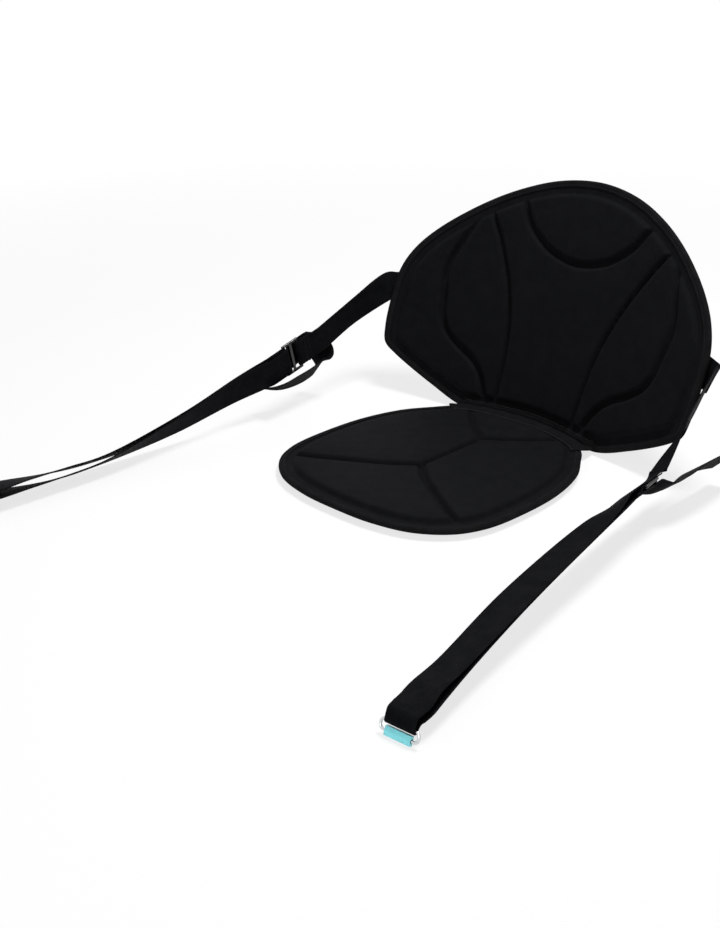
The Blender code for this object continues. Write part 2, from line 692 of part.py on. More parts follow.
def make_ring(side, ring, finish):
    """Ring of wire with the strap round its upper bar."""
    half = RING_INSIDE / 2 + WIRE_RADIUS - RING_CORNER
    corners = ((half, -RING_CORNER, 0), (-half, -RING_CORNER, 90))
    corners += ((-half, RING_CORNER - RING_DEPTH, 180), (half, RING_CORNER - RING_DEPTH, 270))
    curve = bpy.data.curves.new(side + "_ring", "CURVE")
    curve.dimensions = "3D"
    curve.bevel_depth = WIRE_RADIUS
    curve.bevel_resolution = 3
    points = []
    for x, y, start in corners:
        for k in range(5):
            turn = math.radians(start + 22.5 * k)
            points.append(ring.at(x + RING_CORNER * math.cos(turn), -y - RING_CORNER * math.sin(turn)))
    spline = curve.splines.new("POLY")
    spline.points.add(len(points) - 1)
    for spot, p in zip(spline.points, points):
        spot.co = (*p, 1.0)
    spline.use_cyclic_u = True
    return add_object(side + "_ring", curve, finish)


def make_sleeve(side, ring, finish):
    """Flat sleeve round the ring's lower bar."""
    name = side + "_ring_sleeve"
    made = add_object(name, box(name, (SLEEVE_LENGTH, SLEEVE_HEIGHT, SLEEVE_THICKNESS)), finish)
    hole = 2 * (WIRE_RADIUS + SLEEVE_CLEAR)
    cut(made, name + "_hole", (2 * SLEEVE_LENGTH, hole, hole), (0, 0, 0))
    place_in(made, ring.at(0.0, RING_DEPTH), -ring.down, ring.across, ring.face)
    return made


def main():
    for old in list(bpy.data.objects):
        bpy.data.objects.remove(old, do_unlink=True)

    cloth = material("black_cloth", (0.012, 0.012, 0.013), 0.75)
    backing = material("black_backing", (0.010, 0.010, 0.011), 0.85)
    tape = material("black_tape", (0.020, 0.020, 0.022), 0.70)
    webbing = material("black_webbing", (0.010, 0.010, 0.012), 0.60)
    moulding = material("black_plastic", (0.015, 0.015, 0.016), 0.25)
    steel = material("steel_wire", (0.62, 0.63, 0.64), 0.25, 1.0)
    teal = material("teal_plastic", (0.25, 0.75, 0.78), 0.45)

    seat_outline = mirrored_outline(SEAT_EDGE, SEAT_WIDTH, SEAT_DEPTH)
    seat_grooves = groove(SEAT_CENTRE_GROOVE, NARROW_GROOVE, SEAT_WIDTH, SEAT_DEPTH)
    seat_grooves += groove(SEAT_FRONT_GROOVE, WIDE_GROOVE, SEAT_WIDTH, SEAT_DEPTH)
    seat_grooves += groove(SEAT_REAR_GROOVE, WIDE_GROOVE, SEAT_WIDTH, SEAT_DEPTH)
    seat_names = ("seat_pad", "seat_bottom_cover", "seat_edge_binding")
    make_pad(seat_names, seat_outline, seat_grooves, seat_place, (cloth, backing, tape))

    back_outline = mirrored_outline(BACKREST_EDGE, BACKREST_WIDTH, BACKREST_HEIGHT)
    back_grooves = groove(BACKREST_OVAL_GROOVE, WIDE_GROOVE, BACKREST_WIDTH, BACKREST_HEIGHT)
    back_grooves += groove(BACKREST_INNER_GROOVE, NARROW_GROOVE, BACKREST_WIDTH, BACKREST_HEIGHT)
    back_grooves += groove(BACKREST_OUTER_GROOVE, WIDE_GROOVE, BACKREST_WIDTH, BACKREST_HEIGHT)
    back_names = ("backrest_pad", "backrest_back_cover", "backrest_edge_binding")
    make_pad(back_names, back_outline, back_grooves, backrest_place, (cloth, backing, tape))

    make_hinge_tape(seat_outline, back_outline, tape)

    for side, sign in (("left", -1), ("right", 1)):
        buckle = Buckle(side)
        make_patch(side, sign, backing)
        make_anchor_strap(side, sign, buckle, webbing)
        make_buckle(side, buckle, moulding)
        ring = Ring(side)
        make_adjust_strap(side, buckle, ring, webbing)
        make_ring(side, ring, steel)
        make_sleeve(side, ring, teal)


main()
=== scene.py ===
# %% [markdown]
# # A kayak seat, dressed in Blender
# The seat is two moulded foam pads joined by a sewn hinge, with a webbing strap on each side.
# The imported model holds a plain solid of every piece. This script repeats their sizes and puts a
# finished piece in the place of each: the soft panels, the bound edge, the stitching, the webbing, the
# glossy sliders and the bright rings.
# All lengths are in metres. +Z is up and +Y runs from the seat pad towards the backrest.

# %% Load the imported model
import math

import bmesh
import bpy
import numpy as np
from mathutils import Matrix, Vector
from mathutils.geometry import delaunay_2d_cdt


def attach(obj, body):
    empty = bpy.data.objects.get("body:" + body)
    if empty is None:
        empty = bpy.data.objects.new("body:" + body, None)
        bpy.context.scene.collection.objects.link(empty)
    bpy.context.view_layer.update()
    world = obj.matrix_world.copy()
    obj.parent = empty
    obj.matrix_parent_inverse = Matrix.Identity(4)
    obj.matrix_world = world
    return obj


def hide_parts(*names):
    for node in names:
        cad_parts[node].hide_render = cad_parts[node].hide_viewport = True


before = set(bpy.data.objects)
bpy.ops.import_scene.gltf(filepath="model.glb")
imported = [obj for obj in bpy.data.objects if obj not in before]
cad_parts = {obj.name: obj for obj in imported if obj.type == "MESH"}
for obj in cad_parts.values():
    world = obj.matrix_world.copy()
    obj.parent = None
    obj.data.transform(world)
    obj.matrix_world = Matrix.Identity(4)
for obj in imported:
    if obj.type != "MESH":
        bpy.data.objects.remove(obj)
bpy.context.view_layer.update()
bpy.ops.object.select_all(action="DESELECT")
print("solids in the packed model:", len(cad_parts))

# %% [markdown]
# ## Camera
# The photo was taken from a little above, in front of the seat and on its +X side. The camera could be
# placed by eye, but here its place, turn and lens were found by fitting the outlines of both pads and
# the straps, so that the render lies over the photo. The three directions below are the camera's own
# right, up and backwards.

# %% Camera
CAMERA_RIGHT = (0.7133, 0.7009, 0.0)
CAMERA_UP = (-0.2850, 0.2900, 0.9137)
CAMERA_BACK = (0.6403, -0.6517, 0.4066)
CAMERA_PLACE = (1.2028, -1.3583, 0.8149)
CAMERA_LENS = 62.07

camera_data = bpy.data.cameras.new("photo_camera")
camera_data.lens = CAMERA_LENS
camera_data.sensor_width = 36.0
camera_data.clip_start = 0.05
camera = bpy.data.objects.new("photo_camera", camera_data)
bpy.context.scene.collection.objects.link(camera)
camera.matrix_world = Matrix([
    (CAMERA_RIGHT[k], CAMERA_UP[k], CAMERA_BACK[k], CAMERA_PLACE[k]) for k in range(3)
] + [(0.0, 0.0, 0.0, 1.0)])
bpy.context.scene.camera = camera
print("camera stands", round(camera.location.z, 3), "m above the floor")

# %% [markdown]
# ## Node helpers
# A material is a small graph of nodes. Adding a node, setting it and linking its inputs takes several
# lines each time, so one helper does all of it.

# %% Node helpers
def add_node(tree, kind, inputs, **settings):
    """Add a node, give it its settings, and set each input to a value or link it from a socket."""
    node = tree.nodes.new(kind)
    for key, value in settings.items():
        setattr(node, key, value)
    for key, value in inputs.items():
        if isinstance(value, bpy.types.NodeSocket):
            tree.links.new(value, node.inputs[key])
        else:
            node.inputs[key].default_value = value
    return node


def maths(tree, operation, first, second=0.0):
    node = add_node(tree, "ShaderNodeMath", {0: first, 1: second}, operation=operation)
    return node.outputs[0]


# %% [markdown]
# ## Floor
# A black object on a white ground needs a floor that stays white without flooding the object with
# light. A bright white floor would do that, so this one shows mostly plain white to the camera and to
# mirror-like surfaces only, with a share of lit matt paint near the object for a faint shadow.

# %% Floor
FLOOR_SIZE = 60.0
FLOOR_DROP = 0.0005
FLOOR_PAINT = 0.94
WHITE_SHARE = 0.75
LIT_NEAR = 0.8
LIT_FAR = 1.7


def seen_directly(tree):
    """1 for rays from the camera, a reflection or a clear surface, and 0 for all other light."""
    rays = add_node(tree, "ShaderNodeLightPath", {})
    seen = maths(tree, "MAXIMUM", rays.outputs["Is Camera Ray"], rays.outputs["Is Glossy Ray"])
    return maths(tree, "MAXIMUM", seen, rays.outputs["Is Transmission Ray"])


bpy.ops.mesh.primitive_plane_add(size=FLOOR_SIZE, location=(0.0, 0.0, -FLOOR_DROP))
floor = bpy.context.object
floor.name = "studio_floor"
floor_paint = bpy.data.materials.new("floor_paint")
floor_paint.use_nodes = True
tree = floor_paint.node_tree
tree.nodes.clear()
spot = add_node(tree, "ShaderNodeTexCoord", {})
away = add_node(tree, "ShaderNodeVectorMath", {0: spot.outputs["Object"]}, operation="LENGTH")
share = add_node(tree, "ShaderNodeMapRange", {
    "Value": away.outputs["Value"], "From Min": LIT_NEAR, "From Max": LIT_FAR,
    "To Min": WHITE_SHARE, "To Max": 1.0,
})
matt = add_node(tree, "ShaderNodeBsdfDiffuse", {"Color": (FLOOR_PAINT, FLOOR_PAINT, FLOOR_PAINT, 1.0)})
white = add_node(tree, "ShaderNodeEmission", {"Color": (1.0, 1.0, 1.0, 1.0), "Strength": 1.0})
plain = maths(tree, "MULTIPLY", seen_directly(tree), share.outputs[0])
mixed = add_node(tree, "ShaderNodeMixShader", {0: plain, 1: matt.outputs[0], 2: white.outputs[0]})
add_node(tree, "ShaderNodeOutputMaterial", {"Surface": mixed.outputs[0]})
floor.data.materials.append(floor_paint)
print("floor:", floor.name)

# %% [markdown]
# ## World
# The background is plain white too. As a light it is only a weak fill, because a black cloth under a
# full white sky turns grey. The same factor as on the floor tells the two uses apart.

# %% World
WORLD_FILL = 0.24

world = bpy.data.worlds.new("studio")
world.use_nodes = True
bpy.context.scene.world = world
tree = world.node_tree
tree.nodes.clear()
strength = maths(tree, "MULTIPLY_ADD", seen_directly(tree), 1.0 - WORLD_FILL)
strength.node.inputs[2].default_value = WORLD_FILL
sky = add_node(tree, "ShaderNodeBackground", {"Color": (1.0, 1.0, 1.0, 1.0), "Strength": strength})
add_node(tree, "ShaderNodeOutputWorld", {"Surface": sky.outputs[0]})
bpy.context.scene.view_settings.view_transform = "Standard"
print("world fill:", WORLD_FILL)

# %% [markdown]
# ## Lamps
# The photo's light is soft and comes from above: the upper rims and the shoulders of the panels catch
# it, and the feet of the grooves stay dark. A round lamp overhead does that. A weaker one in front
# and one behind keep the steep faces from going flat.

# %% Lamps
def add_lamp(name, place, aim, size, power):
    data = bpy.data.lights.new(name, "AREA")
    data.shape = "DISK"
    data.size = size
    data.energy = power
    lamp = bpy.data.objects.new(name, data)
    bpy.context.scene.collection.objects.link(lamp)
    lamp.location = place
    lamp.rotation_euler = (Vector(aim) - Vector(place)).to_track_quat("-Z", "Y").to_euler()


add_lamp("key_lamp", (0.35, 0.30, 1.90), (0.0, 0.05, 0.1), 0.6, 33.0)
add_lamp("front_lamp", (0.70, -2.10, 0.85), (0.0, 0.15, 0.15), 0.8, 12.0)
add_lamp("back_lamp", (-1.20, 1.60, 1.20), (0.0, 0.1, 0.1), 1.2, 6.0)

# %% [markdown]
# ## Sizes and outlines
# These repeat the named sizes of the part's source, because a scene reads nothing else from disk.
# Both pads are described on a flat sheet first: x across and y away from the hinge. Each outline and
# groove is a smooth curve through a few measured points, given as shares of half the width and of
# the depth.

# %% Sizes of the pads
SEAT_WIDTH = 0.334
SEAT_DEPTH = 0.367
HINGE_BACK = 0.190
HINGE_UP = 0.013
BACKREST_WIDTH = 0.500
BACKREST_HEIGHT = 0.317
RECLINE = math.radians(22.0)
WRAP_RADIUS = 0.638
PAD_THICKNESS = 0.018
COVER_THICKNESS = 0.0010
FLANGE_BOTTOM = 0.006
FLANGE_TOP = 0.0123
FLANGE_WIDTH = 0.017
RIM_SLOPE = 0.006
GROOVE_SLOPE = 0.0035
GAP = 0.0003
BINDING_WIDTH = 0.008
BINDING_THICKNESS = 0.0008
BINDING_CLEAR = 0.0002
EDGE_SLOPE = 0.012

SEAT_EDGE = [
    (0.000, 0.024), (0.330, 0.040), (0.560, 0.075), (0.655, 0.108), (0.742, 0.164), (0.875, 0.261),
    (0.974, 0.417), (1.000, 0.600), (0.968, 0.765), (0.864, 0.868), (0.640, 0.952), (0.330, 0.992),
    (0.000, 1.000),
]
SEAT_CENTRE_GROOVE = [(0.000, 0.277), (0.000, 0.590)]
SEAT_FRONT_GROOVE = [(0.000, 0.590), (0.203, 0.668), (0.458, 0.741), (0.696, 0.805), (0.850, 0.836)]
SEAT_REAR_GROOVE = [(0.000, 0.283), (0.220, 0.203), (0.452, 0.095)]
BACKREST_EDGE = [
    (0.000, -0.016), (0.220, -0.026), (0.439, -0.040), (0.659, 0.012), (0.898, 0.091), (0.968, 0.128),
    (0.990, 0.190), (1.000, 0.330), (0.990, 0.458), (0.940, 0.560), (0.838, 0.668), (0.645, 0.806),
    (0.455, 0.903), (0.240, 0.973), (0.000, 1.000),
]
BACKREST_OVAL_GROOVE = [
    (-0.407, 0.868), (-0.339, 0.782), (-0.264, 0.729), (-0.165, 0.685), (0.000, 0.659),
    (0.165, 0.685), (0.264, 0.729), (0.339, 0.782), (0.407, 0.868),
]
BACKREST_INNER_GROOVE = [
    (0.577, 0.795), (0.481, 0.681), (0.370, 0.514), (0.295, 0.334), (0.264, 0.151), (0.256, 0.032),
]
BACKREST_OUTER_GROOVE = [
    (0.641, 0.752), (0.679, 0.656), (0.725, 0.543), (0.733, 0.473), (0.713, 0.391), (0.690, 0.306),
    (0.646, 0.252), (0.567, 0.208), (0.457, 0.164), (0.394, 0.120), (0.359, 0.079), (0.331, 0.032),
]
NARROW_GROOVE = 0.0030
WIDE_GROOVE = 0.0060
print("pads:", SEAT_WIDTH, "and", BACKREST_WIDTH, "m wide")
# %% [markdown]
# ## Smooth curves
# Edges of cloth and runs of webbing are smooth, while the lists hold only the points that matter. A
# Blender curve object could join them, but the meshes below need the points themselves, so the curve
# is worked out here: a centripetal Catmull-Rom curve, which passes through every point.

# %% Smooth curves
CURVE_PARTS = 24


def fine_curve(points, closed=False):
    """Centripetal Catmull-Rom curve through the points, finely divided."""
    p = np.array(points, float)
    if closed:
        p = np.vstack([p[-1], p, p[0], p[1]])
    else:
        p = np.vstack([2 * p[0] - p[1], p, 2 * p[-1] - p[-2]])
    fine = []
    for a, b, c, d in zip(p[:-3], p[1:-2], p[2:-1], p[3:]):
        ta = 0.0
        tb = ta + math.sqrt(np.linalg.norm(b - a))
        tc = tb + math.sqrt(np.linalg.norm(c - b))
        td = tc + math.sqrt(np.linalg.norm(d - c))
        t = np.linspace(tb, tc, CURVE_PARTS, endpoint=False)[:, None]
        ab = ((tb - t) * a + (t - ta) * b) / (tb - ta)
        bc = ((tc - t) * b + (t - tb) * c) / (tc - tb)
        cd = ((td - t) * c + (t - tc) * d) / (td - tc)
        abc = ((tc - t) * ab + (t - ta) * bc) / (tc - ta)
        bcd = ((td - t) * bc + (t - tb) * cd) / (td - tb)
        fine.append(((tc - t) * abc + (t - tb) * bcd) / (tc - tb))
    fine.append(p[-2:-1])
    return np.concatenate(fine)


def spaced(fine, count):
    """The curve at a number of points an even distance apart."""
    run = np.concatenate([[0.0], np.cumsum(np.linalg.norm(np.diff(fine, axis=0), axis=1))])
    even = np.linspace(0.0, run[-1], count)
    return np.stack([np.interp(even, run, fine[:, k]) for k in range(fine.shape[1])], axis=1)


def curve_through(points, step, closed=False):
    """Smooth curve through points, with a point every step. A closed one doesn't repeat its first."""
    fine = fine_curve(points, closed)
    length = np.linalg.norm(np.diff(fine, axis=0), axis=1).sum()
    sampled = spaced(fine, max(2, round(length / step)) + 1)
    return sampled[:-1] if closed else sampled


print("curves have", CURVE_PARTS, "parts between two points")

# %% [markdown]
# ## Outlines and grooves
# Both pads are the same on the left and the right, so each outline is given by half and mirrored. A
# groove is its centre line and the width of its floor. The outer and inner grooves come in pairs, and
# the ones that cross the middle come once.

# %% Outlines and grooves
OUTLINE_STEP = 0.0022


def signed_area(outline):
    """Area inside an outline, positive if it runs anticlockwise."""
    x, y = outline[:, 0], outline[:, 1]
    return np.sum(x * np.roll(y, -1) - np.roll(x, -1) * y) / 2


def mirrored_outline(half, width, depth):
    """Closed anticlockwise outline from a half one whose first and last points are on the middle."""
    right = [(x * width / 2, y * depth) for x, y in half]
    left = [(-x, y) for x, y in right[-2:0:-1]]
    outline = curve_through(right + left, OUTLINE_STEP, closed=True)
    return outline if signed_area(outline) > 0 else outline[::-1]


def groove(points, floor_width, width, depth):
    """A groove and its mirror image, or one alone if it is its own: centre line and floor width."""
    line = curve_through([(x * width / 2, y * depth) for x, y in points], OUTLINE_STEP)
    if np.abs(line[:, 0] + line[::-1, 0]).max() < 1e-6 or np.abs(line[:, 0]).max() < 1e-6:
        return [(line, floor_width)]
    return [(line, floor_width), (line * (-1, 1), floor_width)]


seat_outline = mirrored_outline(SEAT_EDGE, SEAT_WIDTH, SEAT_DEPTH)
seat_grooves = groove(SEAT_CENTRE_GROOVE, NARROW_GROOVE, SEAT_WIDTH, SEAT_DEPTH)
seat_grooves += groove(SEAT_FRONT_GROOVE, WIDE_GROOVE, SEAT_WIDTH, SEAT_DEPTH)
seat_grooves += groove(SEAT_REAR_GROOVE, WIDE_GROOVE, SEAT_WIDTH, SEAT_DEPTH)
back_outline = mirrored_outline(BACKREST_EDGE, BACKREST_WIDTH, BACKREST_HEIGHT)
back_grooves = groove(BACKREST_OVAL_GROOVE, WIDE_GROOVE, BACKREST_WIDTH, BACKREST_HEIGHT)
back_grooves += groove(BACKREST_INNER_GROOVE, NARROW_GROOVE, BACKREST_WIDTH, BACKREST_HEIGHT)
back_grooves += groove(BACKREST_OUTER_GROOVE, WIDE_GROOVE, BACKREST_WIDTH, BACKREST_HEIGHT)
print("outline points:", len(seat_outline), "and", len(back_outline))

# %% [markdown]
# ## From the flat sheet to the real place
# The seat pad lies flat, and the backrest leans back and wraps round the sitter's back. So each pad
# has its own rule that takes x, y and the height n above the back cover to a place in the room.

# %% Places of the pads
def seat_place(x, y, n):
    """Point of the seat pad: x across, y away from the hinge and n up from its bottom cover."""
    return np.stack([x, HINGE_BACK - y, n + 0.0 * x], axis=-1)


def backrest_place(x, y, n):
    """Point of the backrest: x across, y up its slope and n out of its back cover."""
    slope = x / WRAP_RADIUS
    length = np.sqrt(1 + slope * slope)
    inwards = (n - FLANGE_TOP) / length
    out = x * slope / 2 + inwards
    back = y * math.sin(RECLINE) - out * math.cos(RECLINE)
    up = y * math.cos(RECLINE) + out * math.sin(RECLINE)
    return np.stack([x - inwards * slope, HINGE_BACK + back, HINGE_UP + up], axis=-1)


print("middle of the backrest's top edge:", backrest_place(0.0, BACKREST_HEIGHT, FLANGE_TOP).round(3))

# %% [markdown]
# ## Distances on the sheet
# How high a moulded pad stands at a point depends on how far that point is from the edge and from
# each groove. These helpers measure that for many points at once, in blocks to spare the memory.

# %% Distances on the sheet
BLOCK = 4000


def distance_to(points, line, closed=False):
    """Distance from each of the points to a line through a row of points."""
    ends = np.vstack([line, line[:1]]) if closed else np.asarray(line)
    a, b = ends[:-1], ends[1:]
    along = b - a
    square = (along * along).sum(1)
    found = []
    for block in np.array_split(points, max(1, len(points) // BLOCK)):
        q = block[:, None, :] - a
        share = np.clip((q * along).sum(2) / square, 0.0, 1.0)
        found.append(np.linalg.norm(q - share[..., None] * along, axis=2).min(axis=1))
    return np.concatenate(found)


def inwards_of(outline):
    """Unit normals that point into a closed anticlockwise outline."""
    along = np.roll(outline, -1, axis=0) - np.roll(outline, 1, axis=0)
    along = along / np.linalg.norm(along, axis=1)[:, None]
    return np.stack([-along[:, 1], along[:, 0]], axis=1)


def inside(points, outline):
    """Which points are inside, by counting the crossings of a ray to the right."""
    x, y = outline[:, 0], outline[:, 1]
    nx, ny = np.roll(x, -1), np.roll(y, -1)
    flags = []
    for block in np.array_split(points, max(1, len(points) // BLOCK)):
        sx, sy = block[:, :1], block[:, 1:]
        crosses = (y > sy) != (ny > sy)
        rise = np.where(ny == y, 1.0, ny - y)
        at = x + (sy - y) * (nx - x) / rise
        flags.append((crosses & (at > sx)).sum(axis=1) % 2 == 1)
    return np.concatenate(flags)


print("points measured at a time:", BLOCK)

# %% [markdown]
# ## Finishes
# Nearly everything here is black, so the pieces are told apart by how they shine and by their weave,
# not by colour. Each cloth gets its weave from two crossed waves on its own UV map, which is in
# metres, so the threads have their real size. The webbing gets ribs across its length instead. The same
# waves also darken the colour between the threads and lighten it on their tops, as painted shade and a
# painted highlight. A soft noise makes the dye and the nap uneven.

# %% Cloth finishes
def new_finish(name, colour, roughness, metallic=0.0):
    """New material with its main shader's constant values set, and that shader."""
    made = bpy.data.materials.new(name)
    made.use_nodes = True
    shader = made.node_tree.nodes["Principled BSDF"]
    shader.inputs["Base Color"].default_value = (*colour, 1.0)
    shader.inputs["Roughness"].default_value = roughness
    shader.inputs["Metallic"].default_value = metallic
    return made, shader


def wave(tree, along, pitch):
    """Sine wave along a coordinate, one wave to a pitch."""
    return maths(tree, "SINE", maths(tree, "MULTIPLY", along, 2 * math.pi / pitch))


def uneven_colour(tree, shader, dark, light, scale):
    """Noise on Object coordinates that shifts the colour between two tones."""
    spot = add_node(tree, "ShaderNodeTexCoord", {})
    noise = add_node(tree, "ShaderNodeTexNoise", {
        "Vector": spot.outputs["Object"], "Scale": scale, "Detail": 4.0, "Roughness": 0.6,
    })
    ramp = add_node(tree, "ShaderNodeValToRGB", {"Fac": noise.outputs["Fac"]})
    ramp.color_ramp.elements[0].position = 0.3
    ramp.color_ramp.elements[0].color = (*dark, 1.0)
    ramp.color_ramp.elements[1].position = 0.7
    ramp.color_ramp.elements[1].color = (*light, 1.0)
    tree.links.new(ramp.outputs["Color"], shader.inputs["Base Color"])
    return noise.outputs["Fac"], ramp.outputs["Color"]


def cloth_finish(name, dark, light, roughness, pitch, relief, sheen, gloss, ribs=False):
    """Woven cloth: two crossed waves as its weave, or ribs across its length, with painted shade between
    the threads and a painted highlight on their tops.
    """
    made, shader = new_finish(name, light, roughness)
    tree = made.node_tree
    fuzz, dyed = uneven_colour(tree, shader, dark, light, 60.0)
    spot = add_node(tree, "ShaderNodeUVMap", {}, uv_map="cloth")
    flat = add_node(tree, "ShaderNodeSeparateXYZ", {"Vector": spot.outputs[0]})
    across, along = flat.outputs["X"], flat.outputs["Y"]
    if ribs:
        cross = maths(tree, "ABSOLUTE", wave(tree, along, 2 * pitch))
        height = maths(tree, "ADD", cross, maths(tree, "MULTIPLY", wave(tree, across, pitch), 0.3))
    else:
        height = maths(tree, "MULTIPLY", wave(tree, across, pitch), wave(tree, along, pitch))
    # The weave's height scales the colour from 0.45 to 1.5: painted shade in the hollows between the
    # threads and a painted highlight on their tops.
    lift = add_node(tree, "ShaderNodeMapRange", {
        "Value": height, "From Min": -0.6, "From Max": 1.0, "To Min": 0.45, "To Max": 1.5,
    })
    inputs = {0: dyed, 1: lift.outputs[0]}
    shaded = add_node(tree, "ShaderNodeVectorMath", inputs, operation="MULTIPLY")
    tree.links.new(shaded.outputs[0], shader.inputs["Base Color"])
    height = maths(tree, "ADD", height, maths(tree, "MULTIPLY", fuzz, 0.6))
    bump = add_node(tree, "ShaderNodeBump", {"Height": height, "Strength": 1.0, "Distance": relief})
    tree.links.new(bump.outputs["Normal"], shader.inputs["Normal"])
    shader.inputs["Specular IOR Level"].default_value = gloss
    shader.inputs["Sheen Weight"].default_value = sheen
    shader.inputs["Sheen Roughness"].default_value = 0.5
    return made


pad_cloth = cloth_finish(
    "pad_cloth", (0.0060, 0.0064, 0.0072), (0.0082, 0.0086, 0.0094),
    roughness=0.55, pitch=0.0011, relief=0.00008, sheen=0.008, gloss=0.008)
backing_cloth = cloth_finish(
    "backing_cloth", (0.0060, 0.0062, 0.0068), (0.0095, 0.0098, 0.0105),
    roughness=0.55, pitch=0.0012, relief=0.00010, sheen=0.004, gloss=0.008)
edge_tape = cloth_finish(
    "edge_tape", (0.0075, 0.0078, 0.0084), (0.0120, 0.0124, 0.0132),
    roughness=0.6, pitch=0.0011, relief=0.00012, sheen=0.006, gloss=0.006)
hinge_cloth = cloth_finish(
    "hinge_cloth", (0.0070, 0.0074, 0.0080), (0.0105, 0.0109, 0.0116),
    roughness=0.6, pitch=0.0010, relief=0.00012, sheen=0.006, gloss=0.006)
webbing = cloth_finish(
    "webbing", (0.0034, 0.0037, 0.0044), (0.0064, 0.0067, 0.0076),
    roughness=0.5, pitch=0.0019, relief=0.00030, sheen=0.003, gloss=0.006, ribs=True)
print("materials so far:", len(bpy.data.materials))

# %% [markdown]
# ## Thread, mouldings and wire
# The sewing thread is black and dull. The slider is a glossy moulding and the sleeve a satin one: both
# have a grain too fine to see, which only breaks up their reflections. The ring is bright steel wire,
# whose roughness varies a little, as drawn wire's does.

# %% Thread, mouldings and wire
THREAD_NOISE = 900.0

thread_finish, shader = new_finish("sewing_thread", (0.018, 0.018, 0.020), 0.6)
shader.inputs["Specular IOR Level"].default_value = 0.03
uneven_colour(thread_finish.node_tree, shader, (0.012, 0.012, 0.014), (0.024, 0.024, 0.026), THREAD_NOISE)


def moulded_finish(name, dark, light, roughness, grain, coat):
    """Moulded plastic: a faint grain, and a gloss that varies a little over the surface."""
    made, shader = new_finish(name, light, roughness)
    tree = made.node_tree
    uneven_colour(tree, shader, dark, light, 40.0)
    spot = add_node(tree, "ShaderNodeTexCoord", {})
    noise = add_node(tree, "ShaderNodeTexNoise", {
        "Vector": spot.outputs["Object"], "Scale": 1400.0, "Detail": 2.0,
    })
    bump = add_node(tree, "ShaderNodeBump", {
        "Height": noise.outputs["Fac"], "Strength": 1.0, "Distance": grain,
    })
    tree.links.new(bump.outputs["Normal"], shader.inputs["Normal"])
    smear = add_node(tree, "ShaderNodeTexNoise", {"Vector": spot.outputs["Object"], "Scale": 120.0})
    span = add_node(tree, "ShaderNodeMapRange", {
        "Value": smear.outputs["Fac"], "To Min": roughness * 0.8, "To Max": roughness * 1.3,
    })
    tree.links.new(span.outputs[0], shader.inputs["Roughness"])
    shader.inputs["Coat Weight"].default_value = coat
    shader.inputs["Coat Roughness"].default_value = 0.12
    return made


slider_plastic = moulded_finish(
    "slider_plastic", (0.006, 0.006, 0.007), (0.010, 0.010, 0.012),
    roughness=0.22, grain=0.00001, coat=0.2)
sleeve_plastic = moulded_finish(
    "sleeve_plastic", (0.225, 0.760, 0.830), (0.265, 0.810, 0.870),
    roughness=0.38, grain=0.00001, coat=0.1)
ring_steel, shader = new_finish("ring_steel", (0.62, 0.63, 0.64), 0.24, metallic=1.0)
tree = ring_steel.node_tree
spot = add_node(tree, "ShaderNodeTexCoord", {})
scratch = add_node(tree, "ShaderNodeTexNoise", {
    "Vector": spot.outputs["Object"], "Scale": 700.0, "Detail": 3.0,
})
span = add_node(tree, "ShaderNodeMapRange", {
    "Value": scratch.outputs["Fac"], "To Min": 0.16, "To Max": 0.34,
})
tree.links.new(span.outputs[0], shader.inputs["Roughness"])
bump = add_node(tree, "ShaderNodeBump", {
    "Height": scratch.outputs["Fac"], "Strength": 1.0, "Distance": 0.00001,
})
tree.links.new(bump.outputs["Normal"], shader.inputs["Normal"])
print("materials so far:", len(bpy.data.materials))

# %% [markdown]
# ## Meshes in code
# Pads, covers, tapes and webbing are soft goods whose form is a rule, not a carved block, so their
# points are worked out in code and laid into a mesh together with a UV map in metres. The normals are
# recalculated, because a pad that is turned over in space would come out inside out.

# %% Mesh helper
def mesh_piece(name, points, faces, flat, finish, node):
    """Closed piece from points and faces, with its UV map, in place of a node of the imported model."""
    mesh = bpy.data.meshes.new(name)
    mesh.from_pydata(points.tolist(), [], faces)
    layer = mesh.uv_layers.new(name="cloth")
    corner = np.empty(len(mesh.loops), int)
    mesh.loops.foreach_get("vertex_index", corner)
    layer.data.foreach_set("uv", np.asarray(flat, float)[corner].ravel())
    shape = bmesh.new()
    shape.from_mesh(mesh)
    bmesh.ops.recalc_face_normals(shape, faces=shape.faces)
    shape.to_mesh(mesh)
    shape.free()
    mesh.shade_smooth()
    mesh.materials.append(finish)
    piece = bpy.data.objects.new(name, mesh)
    bpy.context.scene.collection.objects.link(piece)
    hand_over(piece, node)
    return piece


def hand_over(piece, node):
    """Let a piece ride on the seat's one body, and hide the solid that it stands for."""
    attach(piece, "root")
    if node:
        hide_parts(node)
    print(piece.name, "faces:", len(piece.data.polygons))


# %% [markdown]
# ## Filling an outline
# A pad and its cover are each two skins over one outline, joined along the edge. Both skins need loose
# points inside, on a honeycomb lattice, so that they can bend. Delaunay triangles join the points
# without slivers, which a grid cut off by the outline would leave.

# %% Filling an outline
FILL_TOLERANCE = 1e-7


def fill(outline, spots):
    """Triangles that fill an outline through loose points inside it."""
    coords = [Vector(p) for p in outline] + [Vector(p) for p in spots]
    loop = list(range(len(outline)))
    flat, _, faces, origins, _, _ = delaunay_2d_cdt(coords, [], [loop], 1, FILL_TOLERANCE)
    place_of = {old: new for new, olds in enumerate(origins) for old in olds}
    return np.array([tuple(s) for s in flat]), [tuple(f) for f in faces], [place_of[k] for k in loop]


def honeycomb(outline, step, clear):
    """Points on a triangular lattice inside an outline, clear of its edge."""
    low, high = outline.min(axis=0), outline.max(axis=0)
    rows = []
    for k, y in enumerate(np.arange(low[1], high[1], step * math.sqrt(0.75))):
        xs = np.arange(low[0] + k % 2 * step / 2, high[0], step)
        rows.append(np.stack([xs, np.full(len(xs), y)], axis=1))
    spots = np.concatenate(rows)
    spots = spots[inside(spots, outline)]
    return spots[distance_to(spots, outline, closed=True) > clear]


